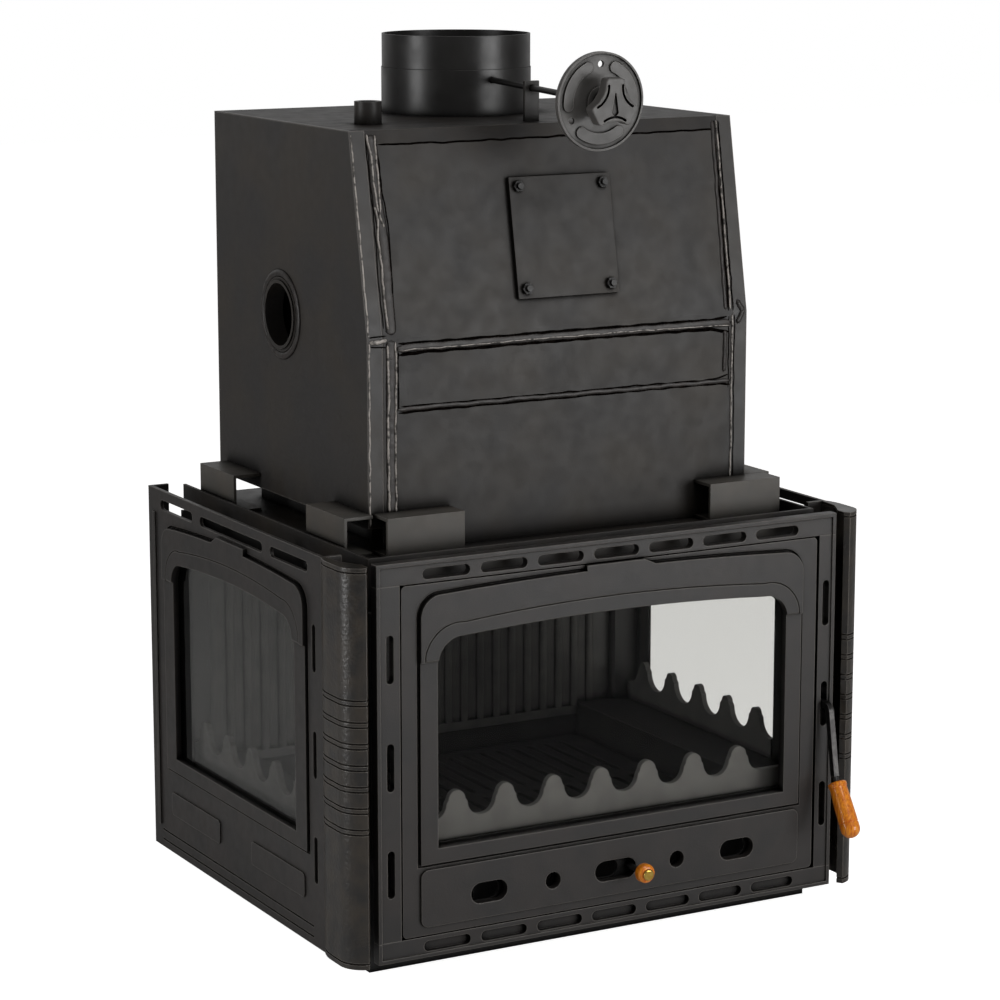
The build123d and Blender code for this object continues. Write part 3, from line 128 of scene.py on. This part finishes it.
white = add_node(sky, "ShaderNodeBackground", {"Color": (1, 1, 1, 1), "Strength": 1.0})
both = add_node(sky, "ShaderNodeMixShader",
                {0: shown.outputs[0], 1: dim.outputs[0], 2: white.outputs[0]})
add_node(sky, "ShaderNodeOutputWorld", {"Surface": both.outputs[0]})

# The paper lights the stove as pale card does, and glows just enough to meet the white behind it.
paper_half_width = 12
paper_colour = (0.9, 0.9, 0.9, 1)
paper_glow = 0.92

floor_mesh = bpy.data.meshes.new("floor")
sheet = bmesh.new()
bmesh.ops.create_grid(sheet, x_segments=1, y_segments=1, size=paper_half_width)
sheet.to_mesh(floor_mesh)
sheet.free()
floor = bpy.data.objects.new("floor", floor_mesh)
bpy.context.collection.objects.link(floor)
paper = bpy.data.materials.new("white paper sweep")
paper.use_nodes = True
tree = paper.node_tree
tree.nodes.clear()
lit = add_node(tree, "ShaderNodeBsdfDiffuse", {"Color": paper_colour})
glow = add_node(tree, "ShaderNodeEmission", {"Color": (1, 1, 1, 1), "Strength": paper_glow})
dark = add_node(tree, "ShaderNodeEmission", {"Strength": 0.0})
lift = add_node(tree, "ShaderNodeMixShader",
                {0: ray_is(tree, "Is Camera Ray", "Is Transmission Ray"),
                 1: dark.outputs[0], 2: glow.outputs[0]})
both = add_node(tree, "ShaderNodeAddShader", {0: lit.outputs[0], 1: lift.outputs[0]})
add_node(tree, "ShaderNodeOutputMaterial", {"Surface": both.outputs[0]})
floor_mesh.materials.append(paper)


# ---------------------------------------------------------------- Castings
# The surround, door, side panels and columns are sand-cast grey iron, sprayed with black stove
# enamel. They are bolted to the sheet body from behind; the door hangs in the surround on two pins.
def linear(hex_colour):
    """A scene-linear colour from an sRGB hex value."""
    parts = [int(hex_colour[i:i + 2], 16) / 255 for i in (1, 3, 5)]
    return tuple(c / 12.92 if c <= 0.04045 else ((c + 0.055) / 1.055) ** 2.4 for c in parts) + (1,)


def per_mm(size):
    """Pattern scale whose features are this many millimetres."""
    return 1000 / size


def new_finish(name, **shader_values):
    """A material with a Principled shader, whose own sockets take the constant values."""
    material = bpy.data.materials.new(name)
    material.use_nodes = True
    shader = material.node_tree.nodes["Principled BSDF"]
    for socket, value in shader_values.items():
        shader.inputs[socket.replace("_", " ")].default_value = value
    return material, shader


def mottle(shader, size, first, second, low=0.4, high=0.6):
    """Two colours in soft patches of about a size in millimetres, on object coordinates."""
    tree = shader.id_data
    place = add_node(tree, "ShaderNodeTexCoord")
    patch = add_node(tree, "ShaderNodeTexNoise",
                     {"Vector": place.outputs["Object"], "Scale": per_mm(size), "Detail": 4})
    share = add_node(tree, "ShaderNodeMapRange",
                     {"Value": patch.outputs["Fac"], "From Min": low, "From Max": high})
    return add_node(tree, "ShaderNodeMix",
                    {"Factor": share.outputs["Result"], "A": linear(first), "B": linear(second)},
                    data_type="RGBA").outputs["Result"]


def weather(shader, colour, lump, depth, rounding, rubbed_glint, hollow_shade, reach, rough, dull, wave=None):
    """Rounds the edges, lays on the grain, paints edges lighter as wear and painted highlight, and
    hollows darker as painted shade.

    lump, depth, rounding and reach are in millimetres; wave is a slow swell's size and depth.
    """
    bend_starts, bend_glint_full = 0.995, 0.88
    hollow_starts, hollow_full = 0.86, 0.45
    patch_lumps = 9
    patch_low, patch_high = 0.3, 0.7
    patch_change = 0.05
    open_shine = 0.5

    tree = shader.id_data
    place = add_node(tree, "ShaderNodeTexCoord")
    lumps = add_node(tree, "ShaderNodeTexNoise",
                     {"Vector": place.outputs["Object"], "Scale": per_mm(lump), "Detail": 3})
    edge = add_node(tree, "ShaderNodeBevel", {"Radius": rounding / 1000}, samples=4)
    under = edge.outputs["Normal"]
    if wave:
        swell_size, swell_depth = wave
        swell = add_node(tree, "ShaderNodeTexNoise",
                         {"Vector": place.outputs["Object"], "Scale": per_mm(swell_size),
                          "Detail": 1})
        under = add_node(tree, "ShaderNodeBump",
                         {"Height": swell.outputs["Fac"], "Distance": swell_depth / 1000,
                          "Strength": 1.0, "Normal": under}).outputs["Normal"]
    bump = add_node(tree, "ShaderNodeBump",
                    {"Height": lumps.outputs["Fac"], "Distance": depth / 1000, "Strength": 1.0,
                     "Normal": under})
    tree.links.new(bump.outputs["Normal"], shader.inputs["Normal"])

    # Edges are painted lighter, partly as rubbed wear and partly as a painted highlight where light
    # catches them.
    flat = add_node(tree, "ShaderNodeNewGeometry")
    bend = add_node(tree, "ShaderNodeVectorMath",
                    {0: edge.outputs["Normal"], 1: flat.outputs["Normal"]},
                    operation="DOT_PRODUCT")
    wear_and_glint = add_node(tree, "ShaderNodeMapRange",
                    {"Value": bend.outputs["Value"],
                     "From Min": bend_starts, "From Max": bend_glint_full})
    # Hollows found by occlusion are painted darker as painted shade, and made rougher and without
    # shine.
    cover = add_node(tree, "ShaderNodeAmbientOcclusion", {"Distance": reach / 1000}, samples=6)
    painted_shade_share = add_node(tree, "ShaderNodeMapRange",
                    {"Value": cover.outputs["AO"],
                     "From Min": hollow_starts, "From Max": hollow_full})
    bright = add_node(tree, "ShaderNodeMix",
                      {"Factor": wear_and_glint.outputs["Result"], "A": colour, "B": linear(rubbed_glint)},
                      data_type="RGBA")
    shade = add_node(tree, "ShaderNodeMix",
                     {"Factor": painted_shade_share.outputs["Result"], "A": bright.outputs["Result"],
                      "B": linear(hollow_shade)}, data_type="RGBA")
    tree.links.new(shade.outputs["Result"], shader.inputs["Base Color"])

    gloss = add_node(tree, "ShaderNodeMapRange",
                     {"Value": painted_shade_share.outputs["Result"], "To Min": rough, "To Max": dull})
    patch = add_node(tree, "ShaderNodeTexNoise",
                     {"Vector": place.outputs["Object"], "Scale": per_mm(lump * patch_lumps),
                      "Detail": 2})
    spread = add_node(tree, "ShaderNodeMapRange",
                      {"Value": patch.outputs["Fac"],
                       "From Min": patch_low, "From Max": patch_high,
                       "To Min": -patch_change, "To Max": patch_change})
    total = add_node(tree, "ShaderNodeMath",
                     {0: gloss.outputs["Result"], 1: spread.outputs["Result"]}, operation="ADD")
    tree.links.new(total.outputs[0], shader.inputs["Roughness"])
    shine = add_node(tree, "ShaderNodeMapRange",
                     {"Value": painted_shade_share.outputs["Result"], "To Min": open_shine, "To Max": 0.0})
    tree.links.new(shine.outputs["Result"], shader.inputs["Specular IOR Level"])


def dress(material, *nodes):
    """Gives CAD nodes a finish."""
    for name in nodes:
        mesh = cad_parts[name].data
        mesh.materials.clear()
        mesh.materials.append(material)


# Satin enamel over sand-cast skin: near black, a little warm, with a fine grain, and edges painted
# lighter as wear and painted highlight.
black_iron, shader = new_finish("black enamelled cast iron", IOR=1.5)
weather(shader, mottle(shader, 60, "#211f1e", "#282422"), lump=1.8, depth=0.16, rounding=2.0,
        rubbed_glint="#6e6a65", hollow_shade="#030303", reach=12, rough=0.42, dull=0.9)
dress(black_iron, "surround_top", "surround_bottom", "surround_left", "surround_right",
      "door_leaf", "left_side_panel", "right_side_panel")

# The columns' enamel is thinner over a hammered skin, so a brown tone and lumps show in the gloss.
hammered_iron, shader = new_finish("brown-black enamel on hammered cast iron", IOR=1.6)
weather(shader, mottle(shader, 24, "#14110e", "#2c251c", 0.35, 0.65), lump=5, depth=0.6,
        rounding=1.6, rubbed_glint="#77716a", hollow_shade="#030202", reach=9, rough=0.31, dull=0.85)
dress(hammered_iron, "left_column", "right_column")


# ---------------------------------------------------------------- Boiler
# Rolled steel plate, welded at the seams and brushed over with black primer, through which a
# brownish tone shows in patches.
plate_paint, shader = new_finish("black primer on rolled steel", IOR=1.42)
weather(shader, mottle(shader, 110, "#232120", "#2b2620", 0.4, 0.66), lump=2.4, depth=0.08,
        rounding=1.0, rubbed_glint="#524e4a", hollow_shade="#040404", reach=30, rough=0.46, dull=0.9,
        wave=(220, 0.3))
dress(plate_paint, "boiler_back", "boiler_front_lower", "boiler_front_middle",
      "boiler_front_upper", "cover_plate", "firebox_top", "side_port", "top_port", "rod_bracket")

# The cover's bolts are left in their black oxide, dark against the primer.
black_oxide, shader = new_finish("black oxide on steel bolts", IOR=1.5)
weather(shader, mottle(shader, 6, "#080707", "#12100f"), lump=0.8, depth=0.03, rounding=1.0,
        rubbed_glint="#4a4845", hollow_shade="#020202", reach=6, rough=0.4, dull=0.8)
dress(black_oxide, "cover_bolts")

# The side plates' flame-cut edges are ground round, and a painted highlight in a lighter colour
# runs down their front corners.
edge_glint_plate, shader = new_finish("black primer on plate, painted highlight on edges", IOR=1.5)
weather(shader, mottle(shader, 110, "#232120", "#2b2620", 0.4, 0.66), lump=2.4, depth=0.08,
        rounding=3.2, rubbed_glint="#7a7672", hollow_shade="#040404", reach=30, rough=0.44, dull=0.9,
        wave=(220, 0.3))
dress(edge_glint_plate, "boiler_left", "boiler_right")

# The top plate is a darker, duller copy of the primer, painted shade for the flat top.
shaded_top_primer, shader = new_finish("black primer painted darker on top", IOR=1.35)
weather(shader, mottle(shader, 80, "#201e1d", "#2a2622", 0.4, 0.66), lump=2.4, depth=0.08,
        rounding=1.0, rubbed_glint="#524e4a", hollow_shade="#040404", reach=60, rough=0.5, dull=0.95)
dress(shaded_top_primer, "boiler_top")

# The feet are folded channels with a thin coat, through which the steel makes them greyer.
foot_paint, shader = new_finish("thin black primer on folded channel", IOR=1.5)
weather(shader, mottle(shader, 60, "#4a4844", "#524d47", 0.4, 0.66), lump=2.4, depth=0.08,
        rounding=1.2, rubbed_glint="#5e5a56", hollow_shade="#040404", reach=30, rough=0.46, dull=0.9)
dress(foot_paint, "boiler_feet")


# ---------------------------------------------------------------- Flue collar and damper
# A rolled steel collar with the damper's rod and blade, in smooth black heat paint that shows as
# soft upright highlights. The control in front of it is cast.
collar_paint, shader = new_finish("smooth black heat paint", IOR=1.5)
weather(shader, mottle(shader, 60, "#121111", "#171615"), lump=3, depth=0.03, rounding=0.8,
        rubbed_glint="#3c3a38", hollow_shade="#030303", reach=14, rough=0.36, dull=0.8)
dress(collar_paint, "flue_collar", "damper_rod", "damper_blade", "flue_neck")

# The damper's disc and star are small castings under a thin coat, greyer than the collar.
control_paint, shader = new_finish("thin grey-black paint on small castings", IOR=1.5)
weather(shader, mottle(shader, 30, "#444240", "#504e4c"), lump=1.4, depth=0.06, rounding=1.4,
        rubbed_glint="#8f8c88", hollow_shade="#020202", reach=9, rough=0.42, dull=0.9)
dress(control_paint, "rosette", "damper_knob")


# ---------------------------------------------------------------- Firebox
# Cast fireback, grate and log guards, unpainted and matt, in a body of folded sheet. Most of it
# lies in the dark behind the glass, and the front guard alone stands in the light.
raw_iron, shader = new_finish("raw cast iron", IOR=1.5)
weather(shader, mottle(shader, 30, "#474645", "#53514f"), lump=2.6, depth=0.05, rounding=1.4,
        rubbed_glint="#6a6866", hollow_shade="#0c0b0b", reach=16, rough=0.66, dull=0.95)
dress(raw_iron, "back_liner", "left_guard", "right_guard")

# The front guard is a paler copy of the raw iron, painted lighter for the light it stands in, with
# a smoother skin.
lit_guard_iron, shader = new_finish("raw cast iron painted paler as lit", IOR=1.5)
weather(shader, mottle(shader, 30, "#7c7a78", "#888684"), lump=2.6, depth=0.05, rounding=1.8,
        rubbed_glint="#7e7c7a", hollow_shade="#0c0b0b", reach=12, rough=0.6, dull=0.95)
dress(lit_guard_iron, "front_guard")

# The grate and the ledges round it are a darker cast iron.
dark_grate_iron, shader = new_finish("dark cast iron", IOR=1.25)
weather(shader, mottle(shader, 30, "#121111", "#1b1a19"), lump=2.6, depth=0.06, rounding=1.4,
        rubbed_glint="#5a5856", hollow_shade="#050505", reach=14, rough=0.8, dull=0.95)
dress(dark_grate_iron, "grate", "hearth")

# Matt heat paint hardly reflects, so the sheet body stays in the background.
sheet_paint, shader = new_finish("matt heat paint on sheet steel", IOR=1.5)
weather(shader, mottle(shader, 50, "#1b1a1a", "#201f1e"), lump=3, depth=0.05, rounding=0.8,
        rubbed_glint="#3a3836", hollow_shade="#040404", reach=20, rough=0.62, dull=0.95)
dress(sheet_paint, "base_floor", "base_side_walls", "base_front_wall", "back_wall", "pan_runners",
      "ash_pan", "left_window_walls", "right_window_walls", "left_glass_strips",
      "right_glass_strips", "handle_bracket", "inner_jacket", "inner_top", "jacket_floor",
      "door_glass_clips", "air_slider")


# ---------------------------------------------------------------- Glass
# Clear heat-proof glass ceramic, 4 mm, faintly grey. It lets light and shadow rays straight
# through, so the firebox behind it is lit.
clear_glass, shader = new_finish("clear glass ceramic", Roughness=0.0, IOR=1.12,
                                 Transmission_Weight=1.0, Base_Color=linear("#dcdcda"))
tree = clear_glass.node_tree
through = add_node(tree, "ShaderNodeBsdfTransparent", {"Color": linear("#e4e4e2")})
pane = add_node(tree, "ShaderNodeMixShader",
                {0: ray_is(tree, "Is Shadow Ray", "Is Diffuse Ray"),
                 1: shader.outputs[0], 2: through.outputs[0]})
tree.links.new(pane.outputs[0], tree.nodes["Material Output"].inputs["Surface"])
dress(clear_glass, "door_glass", "left_side_glass", "right_side_glass")


# ---------------------------------------------------------------- Handle and knob
# A bent steel lever with a turned, lacquered beech grip, and a turned knob with a brass cap. The
# wood's fibres run along the grip, and the lacquer stains it orange.
grip_lean = radians(31)
fibre_width = 2.2
fibre_stretch = 0.12

lacquered_beech, shader = new_finish("lacquered beech", Roughness=0.35, IOR=1.4,
                                     Coat_Weight=0.5, Coat_Roughness=0.06)
tree = lacquered_beech.node_tree
place = add_node(tree, "ShaderNodeTexCoord")
along = add_node(tree, "ShaderNodeMapping",
                 {"Vector": place.outputs["Object"], "Rotation": (grip_lean, 0, 0),
                  "Scale": (1, 1, fibre_stretch)})
fibres = add_node(tree, "ShaderNodeTexNoise",
                  {"Vector": along.outputs[0], "Scale": per_mm(fibre_width), "Detail": 4})
tone = add_node(tree, "ShaderNodeMapRange",
                {"Value": fibres.outputs["Fac"], "From Min": 0.35, "From Max": 0.65})
wood = add_node(tree, "ShaderNodeMix",
                {"Factor": tone.outputs["Result"], "A": linear("#cc6406"),
                 "B": linear("#f6981c")}, data_type="RGBA")
tree.links.new(wood.outputs["Result"], shader.inputs["Base Color"])
dress(lacquered_beech, "handle_grip", "slider_knob")

# Bare steel, dulled by handling, with a dark grey metal sheen.
lever_metal, shader = new_finish("drawn steel lever", Metallic=1.0)
weather(shader, mottle(shader, 8, "#3c3b3b", "#4a4948"), lump=0.8, depth=0.02, rounding=1.0,
        rubbed_glint="#8a8886", hollow_shade="#1a1919", reach=6, rough=0.38, dull=0.7)
dress(lever_metal, "handle_lever", "hinge_pins")

# The knob's cap is the one bright gold spot on the stove.
brass, shader = new_finish("polished brass", Roughness=0.2, Metallic=1.0)
brass.node_tree.links.new(mottle(shader, 4, "#c9a64e", "#d6b765"), shader.inputs["Base Color"])
dress(brass, "slider_cap")


# ---------------------------------------------------------------- Weld seams
# Hand-laid arc welds along the boiler's plate joints, painted over with the plates. Places on them
# are in millimetres from the surround's lower left front corner.
surround_thickness = 0.012
surround_low, surround_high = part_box("surround_top")
front_face = surround_high[1] - surround_thickness
casting_left = surround_low[0]
casting_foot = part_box("surround_bottom")[0][2]


def from_corner(x, y, z):
    """A point in millimetres from the surround's lower left front corner, in the part's frame."""
    return Vector((casting_left + x / 1000, front_face + y / 1000, casting_foot + z / 1000))


def keep(name, mesh, material, body):
    """Makes a smooth mesh a piece of the stove: its finish, and the body that carries it."""
    bmesh.ops.recalc_face_normals(mesh, faces=mesh.faces)
    data = bpy.data.meshes.new(name)
    mesh.to_mesh(data)
    mesh.free()
    data.materials.append(material)
    data.polygons.foreach_set("use_smooth", [True] * len(data.polygons))
    piece = bpy.data.objects.new(name, data)
    bpy.context.collection.objects.link(piece)
    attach(piece, body)


def weld_bead(seams, path, width, height, outward, seed, ripple=0.18):
    """Adds a rippled bead along a line of points, half sunk in the plate."""
    sides = 8
    cut_length = 0.0025
    ripple_length = 0.0055
    unevenness = 0.35
    wander_reach = 0.0012
    end_share, end_size = 0.02, 0.3

    steps = [(b - a).length for a, b in zip(path, path[1:])]
    total = sum(steps)
    bead = bmesh.new()
    bmesh.ops.create_cone(bead, cap_ends=True, segments=sides, radius1=1, radius2=1, depth=1)
    length_edges = [edge for edge in bead.edges
                    if abs(edge.verts[0].co.z - edge.verts[1].co.z) > 0.5]
    bmesh.ops.subdivide_edges(bead, edges=length_edges, cuts=max(2, int(total / cut_length)))
    for vert in bead.verts:
        share = min(max(vert.co.z + 0.5, 0), 1)
        distance = share * total
        part, rest = 0, distance
        while part < len(steps) - 1 and rest > steps[part]:
            rest -= steps[part]
            part += 1
        along = (path[part + 1] - path[part]).normalized()
        across = along.cross(outward).normalized()
        wave = 1 - ripple + ripple * sin(distance / ripple_length * 2 * pi + seed)
        wander = noise.noise(Vector((distance * 60, seed, 0)))
        swell = wave * (1 + unevenness * noise.noise(Vector((distance * 150, seed + 7, 1))))
        taper = min(1, share / end_share + end_size, (1 - share) / end_share + end_size)
        side = vert.co.x * width / 2 * (0.85 + 0.15 * swell) + wander * wander_reach
        rise = vert.co.y * height * swell
        vert.co = path[part] + along * rest + across * side * taper + outward * rise * taper
    made = bpy.data.meshes.new("bead")
    bead.to_mesh(made)
    bead.free()
    seams.from_mesh(made)
    bpy.data.meshes.remove(made)


boiler_front = 131
slope_foot, slope_top = 760, 1014
slope_run = 47
slope_angle = radians(10.5)
front_out = Vector((0, -1, 0))
slope_out = Vector((0, -cos(slope_angle), sin(slope_angle)))


def seam_line(*points):
    """Points on the boiler's front from their place across and their height, in millimetres."""
    return [from_corner(x, boiler_front + max(0, z - slope_foot) * slope_run
                        / (slope_top - slope_foot), z) for x, z in points]


# Wide low runs fill each joint. Each has its width and height in millimetres and its plate's side.
weld_paint, shader = new_finish("painted weld metal", IOR=1.5)
weather(shader, mottle(shader, 12, "#1a1613", "#292320"), lump=1.4, depth=0.25, rounding=0.4,
        rubbed_glint="#4b4845", hollow_shade="#030202", reach=8, rough=0.42, dull=0.85)
seams = bmesh.new()
for number, (wide, high, out, points) in enumerate((
        (15, 1.3, slope_out, ((87, 1008), (88, 930), (92, 880), (91, 764))),
        (15, 1.3, front_out, ((90, 757), (90, 524))),
        (6, 1.6, slope_out, ((588, 1008), (586, 840), (584, 764))),
        (6, 2.4, front_out, ((583, 737), (583, 700), (582, 682))),
        (11, 1.4, front_out, ((98, 746), (340, 746.5), (592, 746))),
        (6, 1.2, front_out, ((98, 669.5), (592, 669.5))))):
    weld_bead(seams, seam_line(*points), wide / 1000, high / 1000, out, number * 3.1)
keep("front_weld_seams", seams, weld_paint, "stove")

# Narrow crests stand on them where the rod went over a second time. Their pale broken lines,
# and two thin strips along the left plate's ground edge, are a painted highlight in a light colour.
crest_highlight, shader = new_finish("painted highlight on weld crests", IOR=1.5)
weather(shader, mottle(shader, 7, "#3b3835", "#a8a29c", 0.36, 0.52), lump=1.4, depth=0.2,
        rounding=0.4, rubbed_glint="#8f8a85", hollow_shade="#080706", reach=4, rough=0.36, dull=0.8)
crests = bmesh.new()
for number, (wide, high, out, points) in enumerate((
        (3.0, 2.8, slope_out, ((81, 1009), (85, 978), (85, 953), (86, 933), (88, 912))),
        (3.0, 2.8, slope_out, ((92, 1008), (91, 978), (92, 953), (91, 924), (89, 910), (94, 895))),
        (3.0, 2.8, slope_out, ((83, 921), (86, 903), (84, 883), (85, 860), (86, 833), (85, 806),
                               (87, 770))),
        (3.4, 2.8, front_out, ((85, 752), (86, 700), (85, 640), (86, 524))),
        (3.0, 2.8, front_out, ((96, 755), (96, 690), (95, 620), (96, 524))),
        (6, 2.4, front_out, ((60, 757), (72, 756), (84, 758))),
        (2.6, 2.2, slope_out, ((594, 1008), (593, 866), (592, 764))),
        (2.4, 2.2, front_out, ((594, 757), (594, 524))),
        (1.8, 2.0, front_out, ((98, 744), (300, 745), (470, 745), (592, 743))),
        (2.4, 1.0, slope_out, ((59.6, 1009), (59.6, 762))),
        (2.4, 1.0, front_out, ((59.6, 756), (59.6, 524))))):
    weld_bead(crests, seam_line(*points), wide / 1000, high / 1000, out, number * 3.1)
keep("weld_crests", crests, crest_highlight, "stove")

# A lump of weld closes the knee of the right side plate.
knee_width, knee_height = 0.008, 0.0032
lump = bmesh.new()
weld_bead(lump, seam_line((603, 775), (611, 762), (602, 745)), knee_width, knee_height,
          front_out, 1.0)
keep("knee_weld", lump, weld_paint, "stove")

# Black broken lines along the toes of the welds are painted shade, flat strips with no shine.
weld_toe_shade, shader = new_finish("black painted shade at weld toes", Roughness=0.95, Specular_IOR_Level=0.0)
weld_toe_shade.node_tree.links.new(mottle(shader, 6, "#040303", "#0f0c0a"), shader.inputs["Base Color"])
toe_height = 0.0005
toe_ripple = 0.4
toes = bmesh.new()
for number, (wide, out, points) in enumerate((
        (2.2, slope_out, ((94, 996), (95, 967), (96, 938), (100, 902), (100, 877), (99, 841),
                          (97, 788), (99, 757))),
        (1.8, slope_out, ((79, 1008), (80, 960), (81, 900), (80, 840), (81, 772))),
        (2.4, front_out, ((100, 742), (99, 700), (101, 668))),
        (2.0, front_out, ((91, 750), (91, 524))),
        (2.8, slope_out, ((96, 996), (187, 995.5), (271, 996), (357, 997), (480, 996),
                          (590, 997))),
        (3.6, front_out, ((100, 752.5), (250, 752), (300, 753), (452, 752), (560, 752),
                          (586, 755))),
        (4.8, front_out, ((100, 738), (130, 740), (452, 740.5), (560, 739.5), (590, 734))),
        (2.4, front_out, ((104, 673), (250, 672.5), (453, 673), (565, 672), (590, 678))),
        (3.4, front_out, ((100, 665), (200, 666), (453, 666.5), (576, 666.5), (592, 664))),
        (3.0, slope_out, ((590.5, 1008), (590, 866), (589, 762))),
        (2.6, slope_out, ((597.5, 1008), (597, 866), (596, 762))),
        (2.0, front_out, ((589, 755), (589, 660))),
        (2.0, front_out, ((598, 757), (598, 524))),
        (2.0, front_out, ((60, 762), (84, 763))),
        (2.0, front_out, ((60, 751), (72, 750), (84, 748))))):
    weld_bead(toes, seam_line(*points), wide / 1000, toe_height, out, number * 2.3, toe_ripple)
keep("weld_toes", toes, weld_toe_shade, "stove")

# The port is welded all round to the left plate, with a low crest that wavers in height.
port_stand = 0.004
port_weld_radius = 0.054
port_weld_half = 0.005
port_weld_flat = 0.62
port_weld_waver = 0.35

port_low, port_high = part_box("side_port")
port_centre = Vector((port_low[0] + port_stand, (port_low[1] + port_high[1]) / 2,
                      (port_low[2] + port_high[2]) / 2))
ring = bmesh.new()
bmesh.ops.create_circle(ring, segments=10, radius=port_weld_half)
bmesh.ops.scale(ring, vec=(port_weld_flat, 1, 1), verts=ring.verts)
bmesh.ops.translate(ring, vec=port_centre + Vector((0, port_weld_radius, 0)), verts=ring.verts)
bmesh.ops.spin(ring, geom=ring.verts[:] + ring.edges[:], cent=port_centre, axis=(1, 0, 0),
               angle=2 * pi, steps=90, use_merge=True)
for vert in ring.verts:
    turn = noise.noise((vert.co - port_centre).normalized() * 9)
    vert.co.x = port_centre.x + (vert.co.x - port_centre.x) * (1 + port_weld_waver * turn)
keep("port_weld_ring", ring, weld_paint, "stove")
